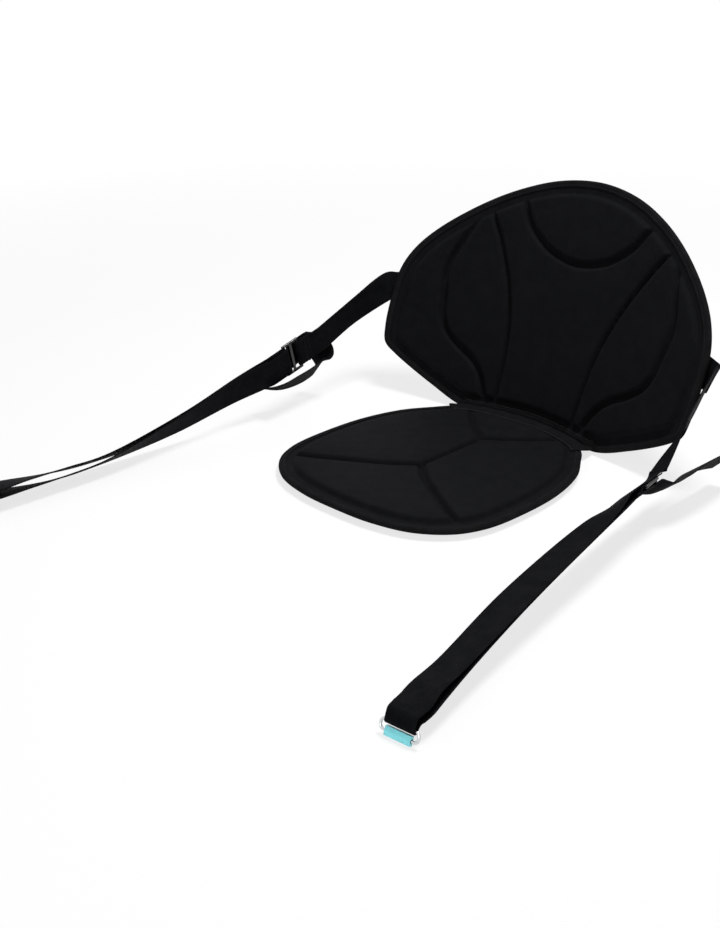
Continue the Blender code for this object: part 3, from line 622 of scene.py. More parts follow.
def shell(name, outline, upper, lower, place, finish, node):
    """Closed solid between two surfaces over one outline, each with its own height rule and points."""
    points, flats, faces, rims = [], [], [], []
    count = 0
    for height, spots in (upper, lower):
        flat, triangles, rim = fill(outline, spots)
        points.append(place(flat[:, 0], flat[:, 1], height(flat)))
        flats.append(flat)
        faces += [tuple(count + k for k in t) for t in triangles]
        rims.append([count + k for k in rim])
        count += len(flat)
    top, bottom = rims
    for k in range(len(outline)):
        after = (k + 1) % len(outline)
        faces.append((top[k], top[after], bottom[after], bottom[k]))
    return mesh_piece(name, np.concatenate(points), faces, np.concatenate(flats), finish, node)


# %% [markdown]
# ## The foam pads
# On the real seat the front cloth and the foam are pressed hot in one mould, so the panels stand up
# with round shoulders and drop steeply into the grooves. A cloth simulation would blow the grooves up,
# so the height of every point is worked out from its distance to the edge and to each groove. Close
# rows of points along the foot of each slope keep that crease sharp, and a slight crown and a few
# shallow lumps keep the panels from looking machined.

# %% Height of a moulded pad
CREASE_STEP = 0.0013
LATTICE_STEP = 0.0018
SHOULDER = 3.0
RIM_REACH = 1.35 * RIM_SLOPE
GROOVE_REACH = 1.8 * GROOVE_SLOPE
GROOVE_HOLLOW = 0.0022
CROWN = 0.0011
CROWN_REACH = 0.035
LUMPS = 0.00007
EDGE_ROUND = 0.0025
EDGE_DROP = 0.0012


def soft_least(values, hardness=9.0):
    """The least of several values, rounded off where two are alike."""
    return -np.log(sum(np.exp(-hardness * np.clip(v, 0.0, 3.0)) for v in values)) / hardness


def face_height(outline, grooves):
    """Rule for the height of a pad's front: panels, hollowed grooves, the flange and its round edge."""
    def height(spots):
        edge = distance_to(spots, outline, closed=True)
        slopes = [(edge - FLANGE_WIDTH) / RIM_REACH]
        free = edge - FLANGE_WIDTH
        hollow = np.zeros(len(spots))
        for line, floor_width in grooves:
            away = distance_to(spots, line) - floor_width / 2
            slopes.append(away / GROOVE_REACH)
            hollow = np.maximum(hollow, np.clip(-away / (floor_width / 2), 0.0, 1.0))
            free = np.minimum(free, away)
        share = 1.0 - (1.0 - np.clip(soft_least(slopes), 0.0, 1.0)) ** SHOULDER
        rise = np.clip(free / CROWN_REACH, 0.0, 1.0)
        x, y = spots[:, 0], spots[:, 1]
        lumps = np.sin(x * 103 + 1.3) * np.sin(y * 134 + 0.4) + 0.4 * np.sin((x + y) * 217)
        panel = (PAD_THICKNESS - FLANGE_TOP) * share + CROWN * rise * (2 - rise) + LUMPS * lumps * share
        within_rim = np.clip((edge - FLANGE_WIDTH) / RIM_SLOPE, 0.0, 1.0)
        panel = panel - GROOVE_HOLLOW * hollow * (2 - hollow) * within_rim
        edge_turn = 1.0 - np.clip(edge / EDGE_ROUND, 0.0, 1.0)
        return FLANGE_TOP + panel - EDGE_DROP * (1.0 - np.sqrt(1.0 - edge_turn**2))

    return height


def back_height(outline, level):
    """Height of a pad's flat underside, which lifts towards the flange and the binding."""
    lift = FLANGE_BOTTOM + BINDING_CLEAR + BINDING_THICKNESS + GAP

    def height(spots):
        edge = distance_to(spots, outline, closed=True)
        away = np.clip((edge - BINDING_WIDTH - GAP) / EDGE_SLOPE, 0, 1)
        return level + lift * (1 - away * away * (3 - 2 * away))

    return height


print("panels stand", round((PAD_THICKNESS - FLANGE_TOP) * 1000, 1), "mm above the flange")

# %% [markdown]
# ## Making a pad
# An even lattice would cut across the creases and leave them ragged. So a row of close points follows
# the foot of each slope, and lattice points that crowd a row are left out. The back of the pad is
# nearly flat, and gets few points.

# %% Making a pad
CREASE_CLEAR = 0.0009
BACK_STEP = 0.010
BACK_CLEAR = 0.006


def crease_points(outline, grooves):
    """Close points along the foot of every slope."""
    lines = [outline + inwards_of(outline) * FLANGE_WIDTH]
    for line, floor_width in grooves:
        along = np.gradient(line, axis=0)
        along /= np.linalg.norm(along, axis=1)[:, None]
        across = np.stack([-along[:, 1], along[:, 0]], axis=1) * floor_width / 2
        lines += [line + across, line - across]
    counts = [round(len(line) * OUTLINE_STEP / CREASE_STEP) for line in lines]
    spots = np.concatenate([spaced(line, count) for line, count in zip(lines, counts)])
    spots = spots[inside(spots, outline)]
    edge = distance_to(spots, outline, closed=True)
    return spots[edge > FLANGE_WIDTH - 0.0002]


def make_pad(name, outline, grooves, place, node):
    """Padded shell: lattice points, less those that crowd a crease, and the crease points."""
    creases = crease_points(outline, grooves)
    lattice = honeycomb(outline, LATTICE_STEP, LATTICE_STEP * 0.7)
    foot = outline + inwards_of(outline) * FLANGE_WIDTH
    crowded = distance_to(lattice, foot, closed=True) < CREASE_CLEAR
    for line, floor_width in grooves:
        crowded |= np.abs(distance_to(lattice, line) - floor_width / 2) < CREASE_CLEAR
    upper = (face_height(outline, grooves), np.concatenate([lattice[~crowded], creases]))
    lower = (back_height(outline, COVER_THICKNESS + GAP), honeycomb(outline, BACK_STEP, BACK_CLEAR))
    piece = shell(name, outline, upper, lower, place, pad_cloth, node)


make_pad("seat_pad_foam", seat_outline, seat_grooves, seat_place, "seat_pad")
make_pad("backrest_pad_foam", back_outline, back_grooves, backrest_place, "backrest_pad")

# %% [markdown]
# ## The back covers
# A flat coated cloth closes the back of each pad. It is stretched over the foam and turned up to the
# flange, where the edge tape holds it. Two surfaces a millimetre apart make it a real sheet.

# %% Back covers
COVER_INSET = 0.0010
COVER_STEP = 0.006
COVER_CLEAR = 0.004


def make_cover(name, outline, place, node):
    trimmed = outline + inwards_of(outline) * COVER_INSET
    spots = honeycomb(trimmed, COVER_STEP, COVER_CLEAR)
    upper = (back_height(outline, COVER_THICKNESS), spots)
    lower = (back_height(outline, 0.0), spots)
    piece = shell(name, trimmed, upper, lower, place, backing_cloth, node)


make_cover("seat_cover_sheet", seat_outline, seat_place, "seat_bottom_cover")
make_cover("backrest_cover_sheet", back_outline, backrest_place, "backrest_back_cover")

# %% [markdown]
# ## The bound edge
# A tape is folded over the raw edge of foam and cover and sewn through. Its section is a U with a
# round back, carried along the outline. A curve with a bevel could carry it too, but then the tape
# couldn't dip at each stitch, and that dotted row of dips is what the eye reads as sewing.

# %% Section of the tape
STITCH_FROM_EDGE = 0.0058
TAPE_FOLD = 0.0022
TAPE_INNER = 0.0042
TAPE_ACROSS = [BINDING_WIDTH, 0.0073, 0.0065, STITCH_FROM_EDGE, 0.0051, TAPE_INNER, 0.0032]
FOLD_PARTS = 10


def fold_points(middle, reach, rise, turns):
    """Points of the round back of the fold, at some angles."""
    return [(TAPE_FOLD + (TAPE_FOLD + reach) * math.cos(t), middle + rise * math.sin(t)) for t in turns]


def binding_section():
    """Section of the tape as a loop of e, inwards from the pad's edge, and n."""
    slim = BINDING_THICKNESS
    low, high = FLANGE_BOTTOM + BINDING_CLEAR, FLANGE_TOP + GAP + slim
    middle = (low + high) / 2
    turns = np.radians(np.linspace(90, 270, FOLD_PARTS + 1))
    over = [(e, high) for e in TAPE_ACROSS]
    over += fold_points(middle, GAP + slim, high - middle, turns)
    over += [(e, low) for e in TAPE_ACROSS[::-1]]
    under = [(BINDING_WIDTH, low + slim), (TAPE_INNER, low + slim)]
    under += fold_points(middle, GAP, high - middle - slim, turns[::-2])
    under += [(TAPE_INNER, high - slim), (BINDING_WIDTH, high - slim)]
    return np.array(over + under), middle


tape_section, tape_middle = binding_section()
print("points in the tape's section:", len(tape_section))

# %% [markdown]
# ## Carrying the tape round a pad
# At each point of the outline the section is set down square to the edge. The stitches pull it in by a
# fraction of a millimetre, and its loose edge wavers a little, as a tape fed by hand does.

# %% Edge bindings
STITCH_PITCH = 0.0048
STITCH_DIP = 0.00022
STITCH_PULL = 0.0011
BINDING_STEP = 0.0016


def pulled_section(s, pitch):
    """The tape's section at a length s along the edge, pulled in by the stitches."""
    e, n = tape_section[:, 0], tape_section[:, 1]
    beside = np.exp(-(((e - STITCH_FROM_EDGE) / STITCH_PULL) ** 2))
    pulled = beside * (0.35 + 0.65 * math.cos(math.pi * s / pitch) ** 2)
    wobble = 0.00012 * math.sin(s * 190) + 0.00008 * math.sin(s * 431)
    return e, n - np.sign(n - tape_middle) * (STITCH_DIP * pulled) + wobble * (e > 0.007)


def make_binding(name, outline, place, node):
    line = curve_through(outline, BINDING_STEP, closed=True)
    inwards = inwards_of(line)
    steps = np.linalg.norm(np.roll(line, -1, axis=0) - line, axis=1)
    run = np.concatenate([[0.0], np.cumsum(steps)])
    length = run[-1]
    pitch = length / round(length / STITCH_PITCH)
    points, flats = [], []
    girth = np.concatenate([[0.0], np.cumsum(np.linalg.norm(np.diff(tape_section, axis=0), axis=1))])
    for spot, normal, s in zip(line, inwards, run):
        e, n = pulled_section(s, pitch)
        points.append(place(spot[0] + normal[0] * e, spot[1] + normal[1] * e, n))
        flats.append(np.stack([girth, np.full(len(e), s)], axis=1))
    sides, count = len(tape_section), len(line)
    faces = [
        (r * sides + k, r * sides + (k + 1) % sides,
         (r + 1) % count * sides + (k + 1) % sides, (r + 1) % count * sides + k)
        for r in range(count) for k in range(sides)
    ]
    points, flats = np.concatenate(points), np.concatenate(flats)
    piece = mesh_piece(name, points, faces, flats, edge_tape, node)


make_binding("seat_binding_tape", seat_outline, seat_place, "seat_edge_binding")
make_binding("backrest_binding_tape", back_outline, backrest_place, "backrest_edge_binding")

# %% [markdown]
# ## One stitch
# One stitch is a short, thick thread that sinks into the cloth at both ends. It is made once, from a
# sphere drawn out to a grain of rice, and its shape is then set down again along each seam.

# %% One stitch
STITCH_LENGTH = 0.0034
STITCH_RADIUS = 0.00036

bpy.ops.mesh.primitive_uv_sphere_add(segments=6, ring_count=5, radius=1.0, location=(0, 0, 0))
stitch = bpy.context.object
bpy.ops.object.mode_set(mode="EDIT")
bpy.ops.mesh.select_all(action="SELECT")
bpy.ops.transform.rotate(value=math.pi / 2, orient_axis="Y", center_override=(0.0, 0.0, 0.0))
bpy.ops.transform.resize(value=(STITCH_LENGTH / 2, STITCH_RADIUS, STITCH_RADIUS))
bpy.ops.object.mode_set(mode="OBJECT")
stitch_points = np.array([tuple(v.co) for v in stitch.data.vertices])
stitch_faces = [tuple(p.vertices) for p in stitch.data.polygons]
bpy.data.objects.remove(stitch, do_unlink=True)
print("faces in one stitch:", len(stitch_faces))

# %% [markdown]
# ## Seams
# A seam is a row of such stitches. An array modifier on a curve could lay them, but each stitch also
# has to lie flat on a surface that bends away, so each is turned to the seam's run and to the
# surface's normal. All the stitches of one seam are one piece.

# %% Seams
SEAM_STEP = 0.003
PROBE = 0.001


def unit(vector):
    """The same direction, with a length of 1."""
    vector = np.array(vector, float)
    return vector / np.linalg.norm(vector, axis=-1, keepdims=True)


def sew(name, places, normals, thread=thread_finish, pitch=STITCH_PITCH, closed=False):
    """Stitches along a line of places on a surface with the given normals."""
    ends = np.vstack([places, places[:1]]) if closed else places
    ups = np.vstack([normals, normals[:1]]) if closed else normals
    run = np.concatenate([[0.0], np.cumsum(np.linalg.norm(np.diff(ends, axis=0), axis=1))])
    count = max(2, round(run[-1] / pitch))
    middles = (np.arange(count) + 0.5) * run[-1] / count
    points, faces = [], []
    for s in middles:
        spot, up, near = (np.array([np.interp(at, run, v[:, k]) for k in range(3)])
                          for v, at in ((ends, s), (ups, s), (ends, min(s + 0.0005, run[-1]))))
        along = unit(near - spot + 1e-12)
        up = unit(up - (up @ along) * along)
        across = np.cross(up, along)
        first = len(points) * len(stitch_points)
        points.append(spot + stitch_points @ np.array([along, across, up]))
        faces += [tuple(first + k for k in f) for f in stitch_faces]
    points = np.concatenate(points)
    mesh_piece(name, points, faces, points[:, :2], thread, None)


def sew_edge(name, outline, place, n, lean):
    """Row of stitches along the binding at height n, with their tops towards height n + lean."""
    line = curve_through(outline, SEAM_STEP, closed=True)
    line = line + inwards_of(line) * STITCH_FROM_EDGE
    x, y = line[:, 0], line[:, 1]
    here = place(x, y, np.full(len(x), n))
    above = place(x, y, np.full(len(x), n + lean))
    sew(name, here, unit(above - here), closed=True)


TAPE_TOP = FLANGE_TOP + GAP + BINDING_THICKNESS - STITCH_DIP / 2
TAPE_BOTTOM = FLANGE_BOTTOM + BINDING_CLEAR + STITCH_DIP / 2
sew_edge("seat_binding_stitches", seat_outline, seat_place, TAPE_TOP, PROBE)
sew_edge("backrest_binding_stitches", back_outline, backrest_place, TAPE_TOP, PROBE)
sew_edge("backrest_binding_back_stitches", back_outline, backrest_place, TAPE_BOTTOM, -PROBE)

# %% [markdown]
# ## Webbing and flat tapes
# A strap is a middle surface with a thickness. The middle surface is a grid: rows along the strap
# and columns across it. The two faces are set off from it by half the thickness, a little less at
# the woven edges, and joined round the border.

# %% Grid sheets
WOVEN_EDGE = [0.45, 0.92]


def sheet_from_grid(name, grid, thickness, finish, node, thin_edges=True):
    """Closed sheet round a grid of places, rows first, with UVs in metres across and along."""
    rows, columns = grid.shape[:2]
    along, across = np.gradient(grid, axis=0), np.gradient(grid, axis=1)
    normals = unit(np.cross(across, along))
    share = np.ones(columns)
    if thin_edges:
        share[:2] = WOVEN_EDGE
        share[-2:] = WOVEN_EDGE[::-1]
    offset = normals * (share * thickness / 2)[None, :, None]
    middle = grid[:, columns // 2]
    s = np.concatenate([[0.0], np.cumsum(np.linalg.norm(np.diff(middle, axis=0), axis=1))])
    u = np.concatenate([[0.0], np.cumsum(np.linalg.norm(np.diff(grid[0], axis=0), axis=1))])
    flat = np.stack(np.meshgrid(s, u, indexing="ij")[::-1], axis=-1).reshape(-1, 2)
    points = np.concatenate([(grid + offset).reshape(-1, 3), (grid - offset).reshape(-1, 3)])
    index = np.arange(rows * columns).reshape(rows, columns)
    faces = []
    for layer in (index, index + rows * columns):
        a, b, c, d = layer[:-1, :-1], layer[1:, :-1], layer[1:, 1:], layer[:-1, 1:]
        faces += np.stack([a, b, c, d], axis=-1).reshape(-1, 4).tolist()
    border = np.concatenate([index[0], index[1:, -1], index[-1, -2::-1], index[-2:0:-1, 0]])
    for k, here in enumerate(border):
        after = border[(k + 1) % len(border)]
        faces.append([int(here), int(after), int(after + rows * columns), int(here + rows * columns)])
    piece = mesh_piece(name, points, faces, np.vstack([flat, flat]), finish, node)
    return piece, s[-1]


print("shares of the thickness at a woven edge:", WOVEN_EDGE)

# %% [markdown]
# ## The hinge
# A strip of cloth joins the two pads. It is sewn to the rear flange of the seat and to the lower
# flange of the backrest, and bends in the gap between them. In the photo it is a narrow band with
# sewn rows along it. Each column of the strip's grid is a smooth curve from one pad to the other.

# %% Hinge band
HINGE_TAPE_LENGTH = 0.220
HINGE_TAPE_THICKNESS = 0.0010
HINGE_TAPE_LAP = 0.0135
HINGE_TAPE_REACH = 0.0030
HINGE_COLUMNS = 111
HINGE_ROWS = 34


def edge_by_hinge(outline, x):
    """Point of the outline's edge by the hinge at x, and the direction inwards from it."""
    by_hinge = outline[:, 1] < 0.4 * outline[:, 1].max()
    normals = inwards_of(outline)[by_hinge]
    edge = outline[by_hinge]
    order = np.argsort(edge[:, 0])
    values = (edge[:, 1], normals[:, 0], normals[:, 1])
    y, nx, ny = (np.interp(x, edge[order, 0], v[order]) for v in values)
    return np.array((x, y)), unit((nx, ny))


def on_pad(pad, x, lap, n):
    """Place on a pad by the hinge: x along it, lap inwards from the pad's edge, at height n."""
    spot, inwards = edge_by_hinge(seat_outline if pad == "seat" else back_outline, x)
    u, v = spot + inwards * lap
    return (seat_place if pad == "seat" else backrest_place)(u, v, n)


on_flange = FLANGE_TOP + GAP + HINGE_TAPE_THICKNESS / 2
on_binding = on_flange + BINDING_THICKNESS + GAP
step = BINDING_WIDTH + GAP
hinge_knots = [
    ("seat", HINGE_TAPE_LAP, on_flange),
    ("seat", step + 0.0016, on_flange),
    ("seat", step - 0.0006, on_binding),
    ("seat", -HINGE_TAPE_REACH, on_binding),
    ("back", HINGE_TAPE_REACH, on_binding),
    ("back", step - 0.0006, on_binding),
    ("back", step + 0.0016, on_flange),
    ("back", HINGE_TAPE_LAP, on_flange),
]
hinge_columns = []
bell = np.sin(np.linspace(0, math.pi, HINGE_ROWS)) ** 2
for x in np.linspace(-HINGE_TAPE_LENGTH / 2, HINGE_TAPE_LENGTH / 2, HINGE_COLUMNS):
    column = spaced(fine_curve([on_pad(pad, x, lap, n) for pad, lap, n in hinge_knots]), HINGE_ROWS)
    wave_up = 0.00025 * math.sin(x * 260) + 0.00018 * math.sin(x * 611 + 1.0)
    hinge_columns.append(column + (0.0, 0.0, 1.0) * (bell * wave_up)[:, None])
hinge_band, _ = sheet_from_grid("hinge_band", np.array(hinge_columns), HINGE_TAPE_THICKNESS,
                                hinge_cloth, "hinge_tape", thin_edges=False)

# %% [markdown]
# ## The hinge's seams
# A row of darker thread holds the strip to each pad, a little inside the strip's long edges.

# %% Hinge seams
SEAM_INSET = 0.0022
SEAM_END = 0.003
SEAM_KNOTS = 60

dark_thread, shader = new_finish("dark_thread", (0.006, 0.006, 0.007), 0.6)
uneven_colour(dark_thread.node_tree, shader, (0.004, 0.004, 0.005), (0.009, 0.009, 0.010), THREAD_NOISE)
seam_half = HINGE_TAPE_LENGTH / 2 - SEAM_END
for pad in ("seat", "back"):
    spots, ups = [], []
    for x in np.linspace(-seam_half, seam_half, SEAM_KNOTS):
        here = on_pad(pad, x, HINGE_TAPE_LAP - SEAM_INSET, on_flange + HINGE_TAPE_THICKNESS / 2)
        above = on_pad(pad, x, HINGE_TAPE_LAP - SEAM_INSET, on_flange + PROBE + HINGE_TAPE_THICKNESS / 2)
        spots.append(here)
        ups.append(above - here)
    sew(f"hinge_{pad}_stitches", np.array(spots), unit(ups), dark_thread)

# %% [markdown]
# ## The straps
# Each side has two lengths of 38 mm webbing. The anchor strap runs from the back of a wing to the
# rear bar of a three-bar slider. The adjust strap starts at the front bar, goes round the ring, comes
# back through the slider and ends in a loose tail. Every bend and twist is in a row of stations: a
# place, the direction of the width, and the width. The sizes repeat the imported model's, apart from
# STRAP_TURN, the bend at the wing, and RING_LEAD, the straight lead into the ring. Those two are
# shorter here, after the photo.

# %% Sizes of the straps
STRAP_WIDTH = 0.038
STRAP_THICKNESS = 0.0016
SEWN_END = 0.020
PATCH_LENGTH = 0.058
PATCH_WIDTH = 0.052
PATCH_THICKNESS = 0.0008
PATCH_FROM_EDGE = 0.052
PATCH_UP = 0.134
PATCH_TURN = math.radians(16.0)
ANCHOR_INSET = 0.003
STRAP_TURN = 0.007
STRAP_LEAD = 0.018
RING_STRAP_WIDTH = 0.0350
RING_LEAD = 0.0070
STRAP_STEP = 0.016
BAR_SPACING = 0.012
BAR_DEPTH = 0.0040
BAR_THICKNESS = 0.0032
RAIL_WIDTH = 0.0034
RAIL_CLEAR = 0.0016
BAR_CLEAR = 0.0005
BAR_LEAD = 0.0070
WIRE_RADIUS = 0.0015
RING_INSIDE = 0.041
RING_DEPTH = 0.0100
RING_CORNER = 0.0040
RING_LEAN = math.radians(68.0)
SLEEVE_LENGTH = 0.030
SLEEVE_HEIGHT = 0.0096
SLEEVE_THICKNESS = 0.0052
SIDES = {"left": -1, "right": 1}

print("webbing:", STRAP_WIDTH, "m wide")

# %% [markdown]
# ## Routes of the straps
# The straps lie as they fell, which no rule gives, so their knots were chosen from the photo.
# Places are measured from the hinge. They repeat the imported model's too, apart from the right strap's
# last knot before the ring and the last three of its tail, which were moved by a few millimetres.

# %% Routes of the straps
BUCKLE_PLACE = {"left": (-0.2650, -0.1830, 0.0800), "right": (0.2770, -0.1560, 0.0500)}
BUCKLE_ALONG = {"left": (-0.065, -0.950, -0.300), "right": (0.150, -0.970, -0.030)}
BUCKLE_ACROSS = {"left": (0.10, 0.20, 0.97), "right": (-0.70, -0.03, -0.70)}
ANCHOR_ROUTE = {
    "left": [((-0.2610, -0.0660, 0.1200), (0.05, 0.25, 0.95))],
    "right": [((0.2640, -0.0400, 0.1060), (-0.20, -0.30, -0.90))],
}
RING_ROUTE = {
    "left": [
        ((-0.2720, -0.2710, 0.0580), (0.22, 0.20, 0.95), 0.0011),
        ((-0.2790, -0.3670, 0.0350), (0.52, 0.10, 0.85), 0.0011),
        ((-0.2870, -0.4880, 0.0180), (0.84, 0.00, 0.53), 0.0030),
        ((-0.2920, -0.5450, 0.0170), (0.88, 0.00, 0.45), 0.0045),
        ((-0.2970, -0.6150, 0.0210), (0.97, 0.00, 0.20), 0.0050),
    ],
    "right": [
        ((0.2950, -0.2580, 0.0520), (-0.93, -0.05, -0.36), 0.0011),
        ((0.3280, -0.4350, 0.0420), (-0.99, -0.03, -0.12), 0.0011),
        ((0.3540, -0.5600, 0.0280), (-0.98, 0.00, -0.20), 0.0030),
        ((0.3660, -0.6100, 0.0260), (-0.99, 0.00, -0.15), 0.0055),
        ((0.3700, -0.6280, 0.0235), (-1.00, 0.00, -0.05), 0.0048),
    ],
}
RING_PLACE = {"left": (-0.2990, -0.6460), "right": (0.3740, -0.6520)}
RING_TURN = {"left": math.radians(-3.0), "right": math.radians(4.0)}
TAIL_ROUTE = {
    "left": [
        ((-0.2770, -0.1320, 0.0780), (0.10, 0.15, 0.98)),
        ((-0.2800, -0.1170, 0.0660), (0.40, 0.20, 0.90)),
        ((-0.2770, -0.1180, 0.0530), (0.50, 0.20, 0.84)),
        ((-0.2720, -0.1420, 0.0450), (0.60, 0.10, 0.79)),
        ((-0.2700, -0.1850, 0.0410), (0.75, 0.00, 0.66)),
        ((-0.2710, -0.2230, 0.0440), (0.95, 0.00, 0.25)),
    ],
    "right": [
        ((0.2820, -0.1120, 0.0420), (-0.80, -0.10, -0.60)),
        ((0.2850, -0.0880, 0.0430), (-0.75, -0.10, -0.65)),
        ((0.2850, -0.0560, 0.0480), (-0.78, 0.00, -0.62)),
        ((0.2830, -0.0180, 0.0440), (-0.70, 0.00, -0.70)),
        ((0.2790, 0.0180, 0.0350), (-0.68, 0.00, -0.72)),
    ],
}
print("knots in the tails:", [len(TAIL_ROUTE[side]) for side in SIDES])

# %% [markdown]
# ## Webbing from stations
# A smooth curve joins the stations. Place and width direction go through it together, so a strap that
# twists between two knots does so evenly, as real webbing does. Columns are closer at the two edges,
# where the webbing gets thin.

# %% Webbing from stations
COLUMNS = np.array([-1.0, -0.965, -0.9, -0.7, -0.45, -0.2, 0.0, 0.2, 0.45, 0.7, 0.9, 0.965, 1.0])
WEB_STEP = 0.0012


def from_hinge(place):
    """Place in the room from one that is measured from the hinge."""
    return np.array(place) + (0.0, HINGE_BACK, 0.0)


def route(knots, step):
    """Stations along a smooth curve through knots of a place, a width direction, a width and more."""
    rows = [(*k[0], *(unit(k[1]) * STRAP_WIDTH), *k[2:]) for k in knots]
    sampled = curve_through(rows, step)
    return [(row[:3], row[3:6], *row[6:]) for row in sampled]


def web(name, stations, node):
    """Webbing along stations of a place, the direction of its width and the width."""
    rows = np.array([(*s[0], *(unit(s[1]) * STRAP_WIDTH), s[2]) for s in stations])
    rows = curve_through(rows, WEB_STEP)
    places, across, widths = rows[:, :3], rows[:, 3:6], rows[:, 6]
    along = unit(np.gradient(places, axis=0))
    across = unit(across - (across * along).sum(axis=1)[:, None] * along)
    offsets = COLUMNS[None, :] * widths[:, None] / 2
    grid = places[:, None, :] + across[:, None, :] * offsets[..., None]
    piece, length = sheet_from_grid(name, grid, STRAP_THICKNESS, webbing, node)
    print(name, "length:", round(length, 3))


# %% [markdown]
# ## Frames of the sliders and rings
# Bends round a bar are easiest to describe in the bar's own directions. So each slider and each ring
# is a small class that knows its own directions and turns its own coordinates into a place.

# %% Frames of the sliders and rings
class Slider:
    """Frame of reference of a slider: s runs towards the ring and m out of its upper face."""

    def __init__(self, side):
        self.middle = from_hinge(BUCKLE_PLACE[side])
        self.along = unit(BUCKLE_ALONG[side])
        across = np.array(BUCKLE_ACROSS[side])
        self.across = unit(across - (across @ self.along) * self.along)
        self.up = np.cross(self.across, self.along)

    def at(self, s, m):
        """Station of the webbing at s and m."""
        return (self.middle + self.along * s + self.up * m, self.across, STRAP_WIDTH)


class Ring:
    """Frame of reference of a ring that stands on its sleeve: the middle of its upper bar."""

    def __init__(self, side):
        turn = RING_TURN[side]
        ahead = np.array((math.sin(turn), -math.cos(turn), 0.0))
        self.across = np.array((math.cos(turn), math.sin(turn), 0.0))
        self.down = ahead * math.cos(RING_LEAN) - (0.0, 0.0, math.sin(RING_LEAN))
        self.face = np.cross(self.down, self.across)
        low_bar = (SLEEVE_HEIGHT * math.sin(RING_LEAN) + SLEEVE_THICKNESS * math.cos(RING_LEAN)) / 2
        self.bar = from_hinge((*RING_PLACE[side], low_bar + RING_DEPTH * math.sin(RING_LEAN)))

    def at(self, across, down):
        """Place across the ring and down from its upper bar."""
        return self.bar + self.across * across + self.down * down


sliders = {side: Slider(side) for side in SIDES}
rings = {side: Ring(side) for side in SIDES}
print("upper bars of the rings:", {side: ring.bar.round(3).tolist() for side, ring in rings.items()})

# %% [markdown]
# ## Webbing round a bar
# Each strap ends in a turn round a bar, and its short end is sewn to its own underside. The turn is
# half an ellipse, since the bars are wider than they are thick. PLY is one layer of webbing with the
# clearance to the next.

# %% Webbing round a bar
REACH = BAR_DEPTH / 2 + BAR_CLEAR + STRAP_THICKNESS / 2
RISE = BAR_THICKNESS / 2 + BAR_CLEAR + STRAP_THICKNESS / 2
PLY = STRAP_THICKNESS + BAR_CLEAR


def bar_turn(centre, reach, rise, start, stop, steps):
    """Points of a bend round a bar, as s and m, between two angles in degrees."""
    turns = np.radians(np.linspace(start, stop, steps + 1))
    return [(centre + reach * math.cos(t), rise * math.sin(t)) for t in turns]


def hem_points():
    """Points that lead a turned end from below a bar up against the webbing that it is sewn to."""
    near = BAR_DEPTH / 2 + STRAP_THICKNESS
    return [(near, RISE / 8 - STRAP_THICKNESS * 1.3), (near * 2.1, RISE - PLY), (SEWN_END, RISE - PLY)]


print("a turn stands off its bar by", round((RISE - BAR_THICKNESS / 2) * 1000, 2), "mm")

# %% [markdown]
# ## The anchor straps
# From its patch the strap runs behind the wing to the edge, bends forward round the bound edge and
# goes to the slider, where it is turned round the rear bar and sewn. The stretch on the wing follows
# the same rule as the cover, so it stays close to the cover all along.

# %% Anchor straps
def anchor_stations(side, sign):
    """Stations of an anchor strap, from its end on the patch to its sewn end under the slider."""
    slider = sliders[side]
    level = -(GAP + PATCH_THICKNESS + GAP + STRAP_THICKNESS / 2)
    fall = math.tan(PATCH_TURN)
    half_width = STRAP_WIDTH / 2
    middle = BACKREST_WIDTH / 2 - PATCH_FROM_EDGE

    def on_wing(across, n):
        y = PATCH_UP - (across - middle) * fall
        here = backrest_place(sign * across, y, n)
        high = backrest_place(sign * (across + fall * half_width), y + half_width, n)
        low = backrest_place(sign * (across - fall * half_width), y - half_width, n)
        return here, (low - high) * sign, STRAP_WIDTH

    sewn = middle - PATCH_LENGTH / 2 + ANCHOR_INSET
    edge = BACKREST_WIDTH / 2 + GAP + BINDING_THICKNESS
    knots = [on_wing(sewn, level), on_wing(middle, level), on_wing(edge - BINDING_WIDTH, level)]
    knots.append(on_wing(edge + STRAP_TURN / 2, level + STRAP_TURN / 6))
    knots.append(on_wing(edge + STRAP_TURN, level + STRAP_TURN))
    knots += [(from_hinge(p), w, STRAP_WIDTH) for p, w in ANCHOR_ROUTE[side]]
    knots.append(slider.at(-BAR_SPACING - SEWN_END - STRAP_LEAD, RISE))
    stations = route(knots, STRAP_STEP / 4)
    local = [(-BAR_SPACING - SEWN_END, RISE), (-BAR_SPACING - BAR_LEAD, RISE)]
    local += bar_turn(-BAR_SPACING, REACH, RISE, 90, -90, 8)
    local += [(-BAR_SPACING - s, m) for s, m in hem_points()]
    return stations + [slider.at(s, m) for s, m in local]


for side, sign in SIDES.items():
    web(side + "_anchor_webbing", anchor_stations(side, sign), side + "_anchor_strap")

# %% [markdown]
# ## The adjust straps
# This one starts under the slider's front bar, runs to the ring, goes round its upper bar and comes
# back on top of itself. It then passes over the front bar, down through the first window, under the
# other two bars and out behind as the loose tail. Both plies share one centre line and stand off it to
# opposite sides, which keeps them apart.

